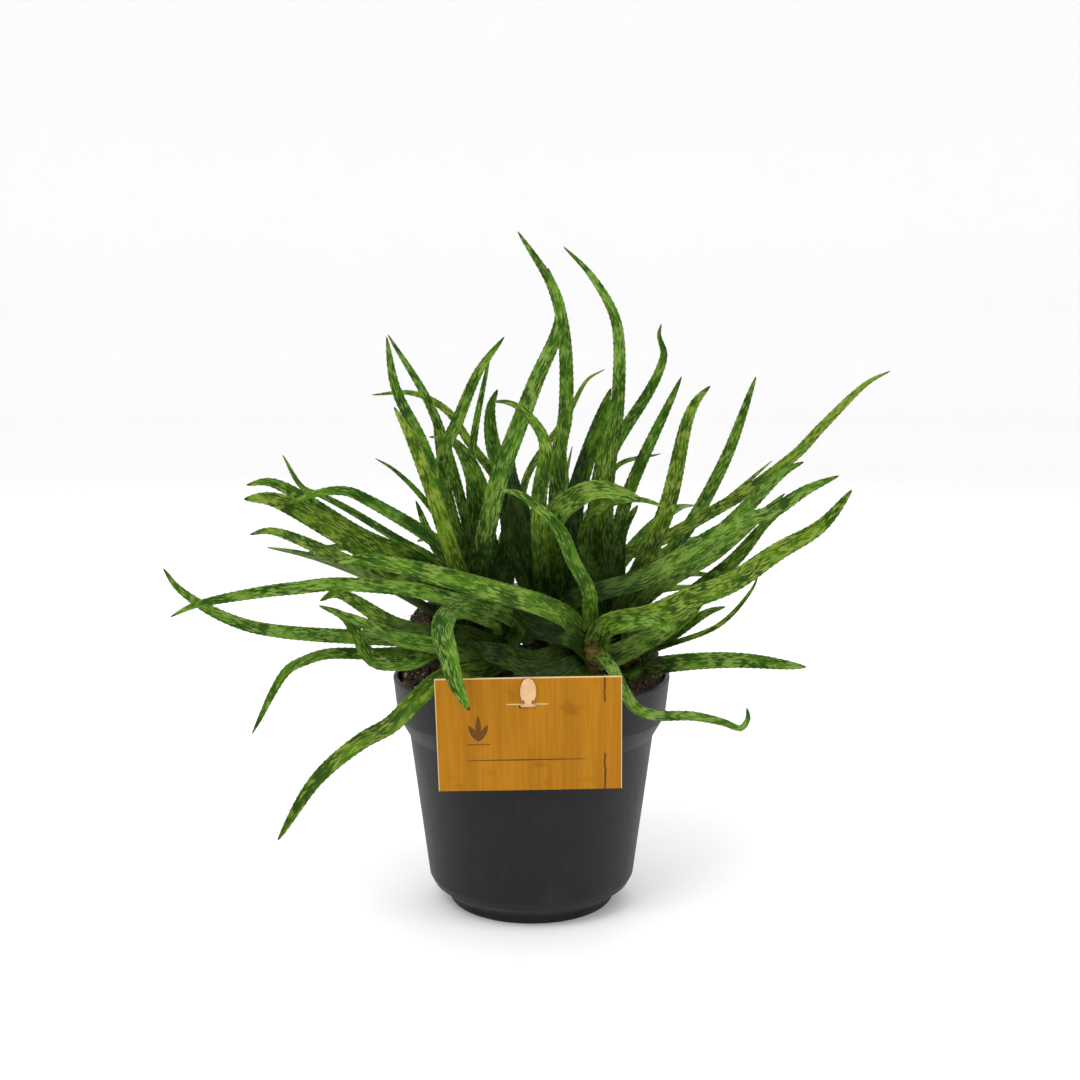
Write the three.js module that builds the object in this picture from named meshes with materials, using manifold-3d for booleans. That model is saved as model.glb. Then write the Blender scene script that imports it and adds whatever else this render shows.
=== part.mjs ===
import * as THREE from "three";
import { mergeVertices } from "three/addons/utils/BufferGeometryUtils.js";
import Module from "manifold-3d";

// A spider aloe in a plastic nursery pot, with a plain card hung on a stake.
// Millimetres, +Z up, the front towards -Y. The origin is the centre of the pot's base.

const wasm = await Module();
wasm.setup();

// The pot: a tapering body under a wider collar.
const POT_HEIGHT = 100;
const RIM_RADIUS = 60;
const RIM_EDGE = 0.6;
const COLLAR_FOOT = { radius: 58.2, z: 83 };
const SHOULDER = { radius: 53.1, z: 74.5 };
const BODY_FOOT = { radius: 44.9, z: 12 };
const FOOT_RADIUS = 36;
const WALL = 1.2;
const POT_SIDES = 36; // the soil has as many, so that the facets lie side by side
const GAP = 0.35; // the clearance between touching pieces

// The base: a foot ring and a middle pad, with a drained groove between them.
const PAD_RADIUS = 11;
const GROOVE_DEPTH = 1.6;
const FOOT_RING_WIDTH = 5;
const FLOOR_Z = WALL + GROOVE_DEPTH;
const DRAIN = { holes: 8, radius: 3, circle: 21, sides: 8 };

// The soil: a dome with a steep heap at the back left, a lower one at the right, and small clods.
const SOIL_EDGE_Z = 94;
const SOIL_DOME = 12;
const SOIL_HEAPS = [
  { x: -47, y: 16, height: 30, spread: 13 },
  { x: 48, y: 6, height: 15, spread: 12 },
];
const SOIL_RINGS = [0.97, 0.89, 0.78, 0.66, 0.53, 0.38, 0.2]; // shares of the soil's radius

// Leaves: three-sided blades with toothed edges, each on the stem of its shoot.
const TOOTH_PITCH = 18;
const TOOTH_HEIGHT = 1.1;
const THICKNESS = 0.34; // a share of the half width
const EDGE_RISE = 0.35; // how high the edges stand over the midrib, as a share of the thickness
const KEEL_DROP = 1.1; // how deep the keel hangs under it, likewise
const ROOT_DROP = 5; // how much lower than an upright leaf a level one starts
const FAN_POINTS = 6;
const GOLDEN = 0.618; // steps that never repeat, for the rises within a fan
const LAID_TURN = 40; // how far in degrees a laid-out leaf may be turned about its midrib
const FAN_TURN = 50; // the same in a fan
const FAN_STRAY = 10; // how far in degrees a fan's leaf may stray from its even bearing
const FAN_WIDER = 4; // how much wider than the fan's width a leaf may be
const STEM = { radius: 4, sunk: 16, sides: 9 };

// The leaves were laid out in a front view. Its eye stands this far in front of the pot's axis, at
// this height, and looks down by this angle. A point on the picture is in millimetres across and
// up from the middle, on a plane at the eye's distance.
const VIEW = { distance: 600, height: 236, tilt: (7.4 * Math.PI) / 180 };

// The crowns: where the leaves of each shoot meet, on a short stem that stands in the soil.
const CROWNS = {
  front_right: { x: 25, y: -32, z: 117 },
  front_left: { x: -13, y: -24, z: 111 },
  left: { x: -23, y: 7, z: 114 },
  middle: { x: 6, y: 8, z: 116 },
  right: { x: 33, y: 9, z: 114 },
  far_right: { x: 41, y: -14, z: 108 },
  back_left: { x: -13, y: 36, z: 112 },
  back_right: { x: 19, y: 36, z: 112 },
};

// Leaves laid out in the front view, by crown: [width, depth of the tip towards the back, bow of
// the middle towards the back, then the points of the midrib]. A third number fixes a point's depth.
const LAID_OUT = {
  front_right: [
    [5.8, -72, 8, [28.5, -49, -38], [34, -54.5, -50], [39, -64, -59], [44.5, -72, -64], [52.5, -75, -66],
      [69, -75.5, -70], [81.5, -78, -72], [89.5, -80.5, -73], [92.5, -76.5, -72], [92, -71.5, -72]],
    [9.8, -74, 0, [18, -36, -38], [9, -30, -46], [-16, -22, -58], [-72, -8.5], [-84.5, -9.5]],
    [6.8, -44, 0, [25, -30, -38], [24, -21.5, -45], [17.5, -8.5, -52], [12, 4], [0, 16], [-6.5, 20],
      [-14, 21.5]],
    [9.6, -40, 0, [32, -37, -40], [50.5, -32.5, -46], [67.5, -25], [85.5, -18], [105, -5], [123.5, 6],
      [137, 21.5]],
    [8, -58, 0, [32.5, -38, -44], [44, -34.5, -54], [53, -34.5, -58], [60, -39.5, -58]],
    [12, -18, 8, [14.5, -43], [-8.5, -25.5], [-19.5, -20.5]],
    [11, -18, 0, [37, -49], [60, -37], [73, -27.5]],
  ],
  front_left: [
    [11.6, -76, 0, [-11.5, -36.2, -32], [-19, -33, -40], [-29, -30.5, -50], [-35.8, -32.5, -60],
      [-37.8, -39.5, -68], [-35.2, -49.5, -73], [-32, -61.5, -76], [-26.5, -73, -77]],
    [8.6, -70, 0, [-18.7, -54, -34], [-29.9, -55.7, -42], [-40.4, -60.7, -49], [-50.4, -69.7, -56],
      [-59.9, -79, -60], [-73, -86.5, -62], [-91.5, -102.3], [-108.5, -128.5]],
    [6.8, -62, 16, [-6, -37, -38], [-13.5, -31, -44], [-38.5, -24.5], [-50, -21.5], [-84.5, -19],
      [-99.5, -20.5], [-113, -22], [-144, -28], [-154.5, -33]],
    [7.2, -24, 0, [-26.5, -46], [-122, -36.5], [-150, -21.5], [-157.5, -12]],
    [8.4, 2, 0, [-32.5, -43], [-58, -36.5], [-83, -23], [-90.5, -26]],
    [9.6, -42, -8, [-39, -46], [-56, -42.5], [-83.5, -30.5]],
    [7.6, -40, 8, [-28, -46.5, -34], [-40, -46.5, -42], [-49, -51.5, -47], [-58, -53, -48], [-67.5, -51.5],
      [-79.5, -33.5], [-91, -28]],
    [5.6, -20, 4, [-30.5, -48.5], [-68, -48.7], [-87.5, -48.8], [-96.5, -51.5], [-104.5, -56], [-119.5, -83]],
    [5.2, -46, 0, [-13.5, -54.5, -38], [-20.5, -57.5, -43], [-29.5, -56, -46]],
  ],
  left: [
    [12.6, -26, 0, [-39, -21.5], [-56, -13], [-79, 1.7], [-105, 15.4], [-113, 17.8], [-123, 17.5]],
    [8.6, -4, 4, [-43.5, -13], [-73.5, 2], [-111, 24.5], [-122, 23.5]],
    [6.8, -34, 0, [-30.5, -11.5], [-40, -1.5], [-69.5, 16.5], [-78.5, 20.5], [-88, 20.5], [-106, 15]],
    [7.2, 32, -4, [-39, -22], [-67.5, -13.7], [-111, 3.8], [-120.5, 2.3]],
    [7, -12, 0, [-29.5, -8.5], [-47, 41.5], [-58, 64.5], [-62, 87]],
    [7.6, -30, -20, [-31.5, -13.5], [-45, 27.5], [-53.3, 47], [-58.8, 57]],
    [6.6, -22, 16, [-29.5, -8.5], [-38, 33.5], [-31.5, 51], [-22.5, 72], [-11.5, 87]],
    [12.4, 10, 8, [-17.5, -13.5], [-20.5, 2.5], [-20.5, 13.5], [-23.5, 24], [-28, 35], [-35, 44.5]],
    [8.4, 8, 12, [-32.5, -13.5], [-38, 25], [-38, 37.5], [-40, 43.5], [-44, 44]],
    [8.6, -14, 0, [-23, -18, -8], [-21, -4.5, -16], [-17.5, 11.5, -20], [-14, 25.5], [0.8, 65],
      [12.3, 95.5], [7, 116.5]],
  ],
  middle: [
    [7.2, -18, 16, [9, -9.5], [12, 39.5], [14.5, 53.5], [13.8, 88.5], [8.8, 108], [-6, 132]],
    [12.6, -34, 0, [7.5, -18, -2], [6.5, -4.5, -10], [9.5, 9.5, -18], [19, 18, -24], [28.5, 21.5],
      [47, 17.5]],
    [9.4, -36, 0, [18.5, -25.5, -6], [31, -21.5, -12], [47, -17], [80, 2.5], [91, 8], [102, 11.5],
      [118, 21.5], [131.5, 27.5]],
    [3.8, 48, 0, [-4, 0], [-2.5, 25.5], [15.5, 53.5], [24, 68.5], [31.5, 73]],
    [10.6, 26, 8, [16, -13], [17, 13], [20.5, 25.5], [28, 48.5], [34, 65]],
    [3.4, 36, 12, [12, -8.5], [13, 17], [17.5, 40.5]],
    [8, -22, -20, [4, -13], [3, 17], [5.5, 41.5], [-3.5, 55], [-10.5, 58.8], [-17.5, 59]],
    [10, 40, 8, [3.5, -8.5], [-3, 8.5], [-16, 38.5], [-17.5, 56], [-14.5, 64.5]],
  ],
  right: [
    [6.8, 14, 0, [32.5, -8.5], [32, 17], [34, 38.5], [36, 48.5], [37.3, 85], [34.8, 97], [25, 113.5],
      [13.5, 125.5]],
    [9.6, 2, 0, [27, -13], [28.5, 17], [36.5, 65.5]],
    [6.6, 6, 8, [34.5, -13], [39.7, 15], [64.2, 70]],
    [8.6, -12, 0, [40, -25.5], [57, 11.5], [66.5, 51], [70.5, 59.5], [76.5, 66]],
    [7.4, 20, 4, [36.5, -19], [38.5, 3], [45.5, 15]],
    [3.4, 42, 0, [30, -8.5], [35.5, 30.5], [55.5, 37]],
    [5, -32, 4, [26.5, -15], [22, -1], [25, 9], [35.5, 16], [47, 17], [58.5, 13.5]],
    [9, 24, 0, [46.5, -19], [78, 0.5], [107.5, 28.8], [116.5, 33.5]],
    [4, 44, 0, [44.5, -25.5], [51.5, -22], [73.5, -19.5]],
  ],
  far_right: [
    [8, 2, 0, [46.5, -28], [80.5, -5], [108.5, 20]],
    [9, 4, 0, [46.5, -42], [86.5, -9], [99.5, 6], [106.5, 11.5]],
    [3, -38, 0, [50.5, -48], [80, -36.5], [94, -21.5], [97, -15]],
    [5.4, -18, 16, [48.5, -47], [58.5, -42], [73.5, -32], [83, -28.5]],
    [7.6, -28, -8, [53, -53.8], [85.5, -51.3], [117.5, -54.3]],
  ],
  back_left: [
    [5.6, 26, 0, [-35, -14.5], [-44, -7], [-56, -0.5], [-78.5, 13], [-90, 19], [-98, 22.5], [-106.5, 36.5]],
    [5.4, 16, 0, [-23, -8.5], [-42, 54.5], [-61.5, 88]],
    [5, 62, 0, [-8.5, 0], [-11.5, 17], [-16, 27.5], [-26.5, 41.5], [-36, 55], [-50, 62.5], [-68.5, 62]],
    [5.2, 34, 0, [-19.5, -8.5], [-25.5, 17], [-25, 39.5], [-17.5, 80.5]],
    [3.6, 40, 0, [-26.5, -11], [-47, 18.5], [-59.5, 30.5], [-67, 35]],
    [3.6, 30, 12, [-29, 0], [-37.5, 25.5], [-42, 51.5]],
    [6, 46, 0, [-30.5, -17], [-41.5, -2], [-49.5, 17]],
  ],
  back_right: [
    [6.6, 34, 0, [23.5, -16], [32, -8.5], [47, -4], [80, 13.5], [92.5, 21], [113.5, 37], [124, 48.2],
      [143.5, 67], [153.5, 72.3]],
    [7.6, 44, 4, [33.5, -22], [50.5, -13.5], [64.5, 1.5], [82.5, 33.5], [96, 70]],
    [7, 40, 8, [24, -8.5], [29.5, 17], [33, 35], [50, 63], [54.5, 72], [56.5, 79.5], [54.5, 87.5],
      [55.5, 92.5]],
    [3.6, 66, 0, [29.5, -15], [72, 8.5], [103, 34]],
  ],
};

// Leaves that the front view hides, in fans: long ones round the back of the clump, and short broad
// ones low round the stems. A fan's leaves rise from its lowest angle by up to its spread, and are
// at least as wide as its width. Bearings are in degrees from +X towards +Y, and each leaf has a
// [turn, lift] in degrees that bends it clear of its neighbours.
const HIDDEN = { lowest: 18, spread: 44, sway: 34, width: 7 };
const BASAL = { lowest: 6, spread: 30, sway: 10, width: 8.5 };
const FANS = [
  { ...HIDDEN, crown: "back_left", from: 75, to: 178, length: 150,
    bends: [[0, 0], [0, 0], [0, 0], [0, 10], [0, 8], [0, 0], [0, -12]] },
  { ...HIDDEN, crown: "back_right", from: 14, to: 108, length: 150,
    bends: [[0, 18], [-9, 0], [0, 0], [22, -12], [0, 12], [0, 0], [0, 8]] },
  { ...HIDDEN, crown: "left", from: 120, to: 165, length: 120, bends: [[22, 34], [42, -12]] },
  { ...BASAL, crown: "middle", from: -170, to: -10, length: 42,
    bends: [[-6, 38], [-6, 4], [18, 12], [0, 0]] },
  { ...BASAL, crown: "left", from: 180, to: 330, length: 38,
    bends: [[34, 0], [0, 12], [-38, -12], [-46, 34]] },
  { ...BASAL, crown: "right", from: -130, to: -40, length: 38, bends: [[0, 8], [0, 0], [12, 28]] },
  { ...BASAL, crown: "far_right", from: -150, to: -60, length: 30, bends: [[34, 8], [26, -8]] },
  { ...BASAL, crown: "back_left", from: 215, to: 330, length: 30, bends: [[18, 24], [0, 0]] },
  { ...BASAL, crown: "back_right", from: 220, to: 340, length: 40, bends: [[18, 4], [0, 12]] },
];

// Broad leaves in the shade between the front leaves and the soil, laid out as those above.
const UNDERGROWTH = {
  front_right: [
    [12.5, -46, -4, [14, -50, -38], [2, -53, -42], [-14, -49, -45], [-29, -44.5]],
    [10, -56, -4, [18, -54, -42], [6, -58, -47], [-8, -57]],
    [11, -42, -18, [16, -41, -28], [2, -38, -22], [-8, -30]],
  ],
  front_left: [
    [11, -30, 4, [-24, -43, -30], [-34, -40, -34], [-44, -38]],
  ],
  left: [
    [9, 14, 0, [-16, -20], [-10, 0], [-12, 16], [-13, 28]],
  ],
  middle: [
    [9.5, 8, -4, [2, -26], [-5, -10], [-9, 6], [-8, 20]],
    [8, 4, -8, [1, -13], [-4, 12], [-8, 27], [-8.5, 38]],
    [10.5, 4, -4, [12, -20], [17, 4], [20, 24], [23, 40]],
  ],
};

// The hanging card, and the stake that carries it.
const CARD = { width: 73, height: 48.4, thick: 0.8, x: -0.9, y: -61.6, z: 89, lean: 10.2, roll: -1.1 };
const SLIT = { width: 8.4, height: 3, above: 11.9 };
const STAKE = { x: -1.3, width: 6.2, thick: 0.9, inside: 53.4, foot: 48 };
const STAKE_STEPS = 48;

const X_AXIS = new THREE.Vector3(1, 0, 0);
const Y_AXIS = new THREE.Vector3(0, 1, 0);
const Z_AXIS = new THREE.Vector3(0, 0, 1);
const SLIVER = 0.01;
const rad = (degrees) => (degrees * Math.PI) / 180;

// A seeded draw from 0 to 1.
let seed = 20417;
function draw() {
  seed = (Math.imul(seed, 1664525) + 1013904223) >>> 0;
  return seed / 4294967296;
}

// Turns a closed three.js geometry into a solid.
function solidOf(geometry) {
  const bare = geometry.index ? geometry.toNonIndexed() : geometry.clone();
  bare.deleteAttribute("normal");
  bare.deleteAttribute("uv");
  const merged = mergeVertices(bare, 1e-4);
  return new wasm.Manifold(
    new wasm.Mesh({
      numProp: 3,
      vertProperties: new Float32Array(merged.attributes.position.array),
      triVerts: new Uint32Array(merged.index.array),
    }),
  );
}

// The outer body of a solid: a hollow that joining sealed is filled, a loose scrap is dropped, and
// edges too short to matter are closed up.
function wholeBody(solid) {
  const whole = solid.decompose().reduce((a, b) => (b.volume() > a.volume() ? b : a));
  return whole.simplify(SLIVER);
}

// The named mesh of a solid.
function meshOf(name, solid, material) {
  const mesh = solid.getMesh();
  const geometry = new THREE.BufferGeometry();
  geometry.setAttribute("position", new THREE.BufferAttribute(new Float32Array(mesh.vertProperties), 3));
  geometry.setIndex(new THREE.BufferAttribute(new Uint32Array(mesh.triVerts), 1));
  geometry.computeVertexNormals();
  const made = new THREE.Mesh(geometry, material);
  made.name = name;
  return made;
}

// A solid of revolution about Z from [radius, height] pairs.
function turned(profile, sides) {
  const points = profile.map(([r, z]) => new THREE.Vector2(r, z));
  return solidOf(new THREE.LatheGeometry(points, sides).rotateX(Math.PI / 2));
}

// The pot's outer wall, from the foot up to the rim.
function potOutside() {
  return [
    [FOOT_RADIUS - RIM_EDGE, 0],
    [FOOT_RADIUS, 0.8],
    [FOOT_RADIUS + 0.6, 3.4],
    [FOOT_RADIUS + 3.2, 5.8],
    [BODY_FOOT.radius - 1.8, BODY_FOOT.z - 3.4],
    [BODY_FOOT.radius, BODY_FOOT.z],
    [SHOULDER.radius, SHOULDER.z],
    [SHOULDER.radius + 0.7, SHOULDER.z + 1.1],
    [COLLAR_FOOT.radius - 0.6, COLLAR_FOOT.z - 0.9],
    [COLLAR_FOOT.radius, COLLAR_FOOT.z],
    [RIM_RADIUS, POT_HEIGHT - RIM_EDGE],
    [RIM_RADIUS - RIM_EDGE, POT_HEIGHT],
  ];
}

// The pot's inner wall, from the rim down to the floor.
function potInside() {
  return [
    [RIM_RADIUS - RIM_EDGE - WALL, POT_HEIGHT],
    [COLLAR_FOOT.radius - WALL, COLLAR_FOOT.z],
    [SHOULDER.radius - WALL, SHOULDER.z],
    [BODY_FOOT.radius - WALL, BODY_FOOT.z],
    [FOOT_RADIUS + 0.4, FLOOR_Z + 3.4],
    [FOOT_RADIUS - 2.5, FLOOR_Z],
  ];
}

function makePot() {
  const ring = FOOT_RADIUS - FOOT_RING_WIDTH;
  const under = [
    [0, 0],
    [PAD_RADIUS, 0],
    [PAD_RADIUS + 1, GROOVE_DEPTH],
    [ring - 1, GROOVE_DEPTH],
    [ring, 0],
  ];
  let pot = turned([...under, ...potOutside(), ...potInside(), [0, FLOOR_Z]], POT_SIDES);
  for (let i = 0; i < DRAIN.holes; i++) {
    const angle = (i * 2 * Math.PI) / DRAIN.holes;
    const hole = new THREE.CylinderGeometry(DRAIN.radius, DRAIN.radius, 4 * FLOOR_Z, DRAIN.sides);
    hole.rotateX(Math.PI / 2).translate(DRAIN.circle * Math.cos(angle), DRAIN.circle * Math.sin(angle), 0);
    pot = pot.subtract(solidOf(hole));
  }
  return pot;
}

// The height of the soil's surface.
function soilHeight(x, y) {
  const r = Math.hypot(x, y) / (RIM_RADIUS - WALL);
  const edge = Math.max(0, 1 - Math.pow(r, 40));
  const heap = SOIL_HEAPS.reduce((sum, { x: hx, y: hy, height, spread }) => {
    return sum + height * Math.exp(-((Math.hypot(x - hx, y - hy) / spread) ** 4));
  }, 0);
  const clods = 0.9 * Math.sin(0.62 * x + 1.3) * Math.sin(0.55 * y + 0.4) + 0.5 * Math.sin(1.1 * x - 0.9 * y);
  return SOIL_EDGE_Z + SOIL_DOME * (1 - r * r) + heap * edge + clods;
}

function makeSoil(holes) {
  const side = potInside().reverse().map(([r, z]) => [r - GAP, z + GAP]);
  side.pop();
  const shoulderOfSoil = SOIL_EDGE_Z - 2;
  const flare = (RIM_RADIUS - RIM_EDGE - COLLAR_FOOT.radius) / (POT_HEIGHT - COLLAR_FOOT.z);
  const topRadius = COLLAR_FOOT.radius - WALL - GAP + flare * (shoulderOfSoil - COLLAR_FOOT.z);
  const rings = SOIL_RINGS.map((share) => [topRadius * share, SOIL_EDGE_Z]);
  const profile = [[0, FLOOR_Z + GAP], ...side, [topRadius, shoulderOfSoil], ...rings, [0, SOIL_EDGE_Z]];
  const points = profile.map(([r, z]) => new THREE.Vector2(r, z));
  const geometry = new THREE.LatheGeometry(points, POT_SIDES).rotateX(Math.PI / 2);
  const place = geometry.attributes.position;
  for (let i = 0; i < place.count; i++) {
    if (place.getZ(i) > SOIL_EDGE_Z - 1) place.setZ(i, soilHeight(place.getX(i), place.getY(i)));
  }
  return holes.reduce((soil, hole) => soil.subtract(hole), solidOf(geometry));
}

// The place in space of a point on the picture, at a depth behind the pot's axis.
function seen([across, up], depth) {
  const drop = Math.tan(VIEW.tilt);
  const slope = up / VIEW.distance;
  const reach = (VIEW.distance + depth) / (Math.cos(VIEW.tilt) * (1 + slope * drop));
  const rise = slope * Math.cos(VIEW.tilt) - Math.sin(VIEW.tilt);
  return new THREE.Vector3((across / VIEW.distance) * reach, depth, VIEW.height + rise * reach);
}

// The midrib of a laid-out leaf, from inside its stem to the tip. Between its fixed depths it runs
// back evenly, and it bows most in the middle.
function laidOutPath(leaf) {
  const crown = CROWNS[leaf.crown];
  const first = seen(leaf.points[0], leaf.points[0][2] ?? crown.y);
  const slope = (first.z - crown.z) / Math.max(1, first.distanceTo(crown));
  const root = new THREE.Vector3(crown.x, crown.y, crown.z - ROOT_DROP + ROOT_DROP * slope);
  let run = Math.hypot(first.x - root.x, first.z - root.z);
  const runs = leaf.points.map((point, i) => {
    if (i) run += Math.hypot(point[0] - leaf.points[i - 1][0], point[1] - leaf.points[i - 1][1]);
    return run;
  });
  const fixed = [[0, crown.y]];
  leaf.points.forEach((point, i) => {
    if (point.length > 2) fixed.push([runs[i] / run, point[2]]);
  });
  if (fixed[fixed.length - 1][0] < 1) fixed.push([1, leaf.tip]);
  const path = leaf.points.map((point, i) => {
    const share = runs[i] / run;
    const k = Math.max(1, fixed.findIndex(([at]) => at >= share));
    const part = (share - fixed[k - 1][0]) / (fixed[k][0] - fixed[k - 1][0]);
    const even = fixed[k - 1][1] + part * (fixed[k][1] - fixed[k - 1][1]);
    return seen(point, even + leaf.bow * 4 * share * (1 - share));
  });
  return [root, ...path];
}

// The midrib of a leaf in a fan, which rises and arches over.
function fanPath(leaf) {
  const crown = CROWNS[leaf.crown];
  const bearing = rad(leaf.bearing);
  const rise = rad(leaf.rise);
  const path = [];
  for (let i = 0; i <= FAN_POINTS; i++) {
    const share = i / FAN_POINTS;
    const out = leaf.length * share * Math.cos(rise) * (1 - 0.12 * share);
    const up = leaf.length * (share * Math.sin(rise) - leaf.droop * share * share);
    const sway = leaf.sway * share * share;
    path.push(
      new THREE.Vector3(
        crown.x + out * Math.cos(bearing) - sway * Math.sin(bearing),
        crown.y + out * Math.sin(bearing) + sway * Math.cos(bearing),
        crown.z - ROOT_DROP / 2 + up,
      ),
    );
  }
  return path;
}

// A blade's half width at a share of its length.
function halfWidth(leaf, share) {
  const taper = (1 - 0.3 * Math.pow(share, 1.5)) * Math.pow(1 - Math.pow(share, 6), 0.6);
  return 0.5 * leaf.width * Math.max(0.06, taper);
}

// Places, directions and half widths at equal steps along a leaf.
function spine(leaf, steps) {
  const path = leaf.fan ? fanPath(leaf) : laidOutPath(leaf);
  const curve = new THREE.CatmullRomCurve3(path, false, "centripetal");
  const points = curve.getSpacedPoints(steps);
  const crown = CROWNS[leaf.crown];
  const tip = points[steps];
  const face = leaf.fan
    ? new THREE.Vector3(crown.x - tip.x, crown.y - tip.y, 0).normalize().setZ(1.1)
    : new THREE.Vector3(0, -1, 0.55);
  return points.map((place, i) => {
    const share = i / steps;
    const along = points[Math.min(steps, i + 1)].clone().sub(points[Math.max(0, i - 1)]).normalize();
    const across = along.clone().cross(face).normalize();
    across.applyAxisAngle(along, rad(leaf.roll + leaf.twist * share));
    const out = across.clone().cross(along).normalize();
    const half = halfWidth(leaf, share);
    return { place, along, across, out, half, thick: half * THICKNESS * (1 + 0.5 * share) };
  });
}

// Every leaf, with its small turns about its own midrib.
function listLeaves() {
  const leaves = [];
  const layOut = (table) => {
    for (const [crown, rows] of Object.entries(table)) {
      for (const [width, tip, bow, ...points] of rows) {
        const roll = LAID_TURN * (draw() - 0.5);
        const twist = LAID_TURN * (draw() - 0.5);
        leaves.push({ crown, width, tip, bow, points, roll, twist });
      }
    }
  };
  layOut(LAID_OUT);
  for (const fan of FANS) {
    fan.bends.forEach(([turn, lift], i) => {
      const share = (i + 0.5) / fan.bends.length;
      leaves.push({
        crown: fan.crown,
        fan: true,
        bearing: fan.from + (fan.to - fan.from) * share + FAN_STRAY * (draw() - 0.5) + turn,
        rise: fan.lowest + fan.spread * ((GOLDEN * i + 0.2 * draw()) % 1) + lift,
        length: fan.length * (0.72 + 0.42 * draw()),
        droop: 0.16 + 0.34 * draw(),
        sway: fan.sway * (draw() - 0.5),
        width: fan.width + FAN_WIDER * draw(),
        roll: FAN_TURN * (draw() - 0.5),
        twist: FAN_TURN * (draw() - 0.5),
      });
    });
  }
  layOut(UNDERGROWTH);
  return leaves;
}

// A leaf: a cylinder of three sides bent along the midrib, with two toothed edges over a keel.
function leafSolid(leaf) {
  const marks = spine(leaf, 8).map((s) => s.place);
  const length = marks.reduce((sum, mark, i) => sum + (i ? mark.distanceTo(marks[i - 1]) : 0), 0);
  const teeth = Math.max(4, Math.round(length / TOOTH_PITCH));
  const rows = 2 * teeth;
  const fine = 8 * teeth;
  const stretches = spine(leaf, fine);
  const blade = new THREE.CylinderGeometry(1, 1, rows, 3, rows);
  const place = blade.attributes.position;
  for (let i = 0; i < place.count; i++) {
    const row = rows / 2 - Math.round(place.getY(i));
    const isTooth = row % 2 === 1 && row > 2;
    const s = stretches[Math.min(fine, row * 4 + (isTooth ? 2 : 0))];
    const tooth = isTooth ? TOOTH_HEIGHT * Math.min(1, s.half / 2.2) : 0;
    const side = Math.sign(Math.round(2 * place.getX(i)));
    const out = (side ? EDGE_RISE : -KEEL_DROP) * s.thick;
    const at = s.place.clone().addScaledVector(s.across, side * (s.half + tooth)).addScaledVector(s.out, out);
    place.setXYZ(i, at.x, at.y, at.z);
  }
  return solidOf(blade);
}

// The stem under a crown, or with a clearance the hole that it stands in.
function stemSolid(crown, clearance) {
  const foot = soilHeight(crown.x, crown.y) - STEM.sunk;
  const stem = turned(
    [
      [0, foot - clearance],
      [STEM.radius * 0.8 + clearance, foot - clearance],
      [STEM.radius + clearance, foot + STEM.sunk * 0.7],
      [STEM.radius + clearance, crown.z - 4],
      [STEM.radius * 0.55 + clearance, crown.z + 2.5],
      [0, crown.z + 3],
    ],
    STEM.sides,
  );
  return stem.translate([crown.x, crown.y, 0]);
}

// The card's place: its origin is the middle of the card, with +Y through it and +Z up along it.
function cardPlace() {
  const place = new THREE.Object3D();
  place.position.set(CARD.x, CARD.y, CARD.z);
  place.rotation.set(rad(CARD.lean), rad(CARD.roll), 0);
  place.updateMatrixWorld(true);
  return place.matrixWorld;
}

// A closed outline from its corners.
function outline(corners, Kind) {
  const path = new Kind();
  path.setFromPoints(corners.map(([x, y]) => new THREE.Vector2(x, y)));
  path.closePath();
  return path;
}

function box(left, right, low, high) {
  return [[left, low], [right, low], [right, high], [left, high]];
}

function makeCard() {
  const shape = outline(box(-CARD.width / 2, CARD.width / 2, -CARD.height / 2, CARD.height / 2), THREE.Shape);
  const middle = STAKE.x - CARD.x;
  const [left, right] = [middle - SLIT.width / 2, middle + SLIT.width / 2];
  const [low, high] = [SLIT.above - SLIT.height / 2, SLIT.above + SLIT.height / 2];
  shape.holes.push(outline(box(left, right, low, high), THREE.Path));
  const sheet = new THREE.ExtrudeGeometry(shape, { depth: CARD.thick, bevelEnabled: false });
  sheet.translate(0, 0, -CARD.thick / 2).rotateX(Math.PI / 2).applyMatrix4(cardPlace());
  return solidOf(sheet);
}

// The stake's middle line as [y, z], from its foot in the soil, out through the slit, to its tip.
function stakeLine() {
  const onCard = (off, above) => {
    const at = new THREE.Vector3(STAKE.x - CARD.x, off, above).applyMatrix4(cardPlace());
    return [at.y, at.z];
  };
  const [slitY, slitZ] = onCard(0, SLIT.above);
  return [
    [-STAKE.inside + 8, STAKE.foot],
    [-STAKE.inside + 5, SHOULDER.z - 9],
    [-STAKE.inside + 0.6, COLLAR_FOOT.z + 1],
    [-STAKE.inside, POT_HEIGHT - 6],
    [-STAKE.inside - 1.4, slitZ + 0.2],
    [-STAKE.inside - 3.4, slitZ + 0.9],
    [slitY + 1.6, slitZ + 0.3],
    [slitY, slitZ],
    [slitY - 1.2, slitZ + 0.9],
    onCard(-1.3, SLIT.above + 3),
    onCard(-1.2, CARD.height / 2 + 0.2),
  ];
}

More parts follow.
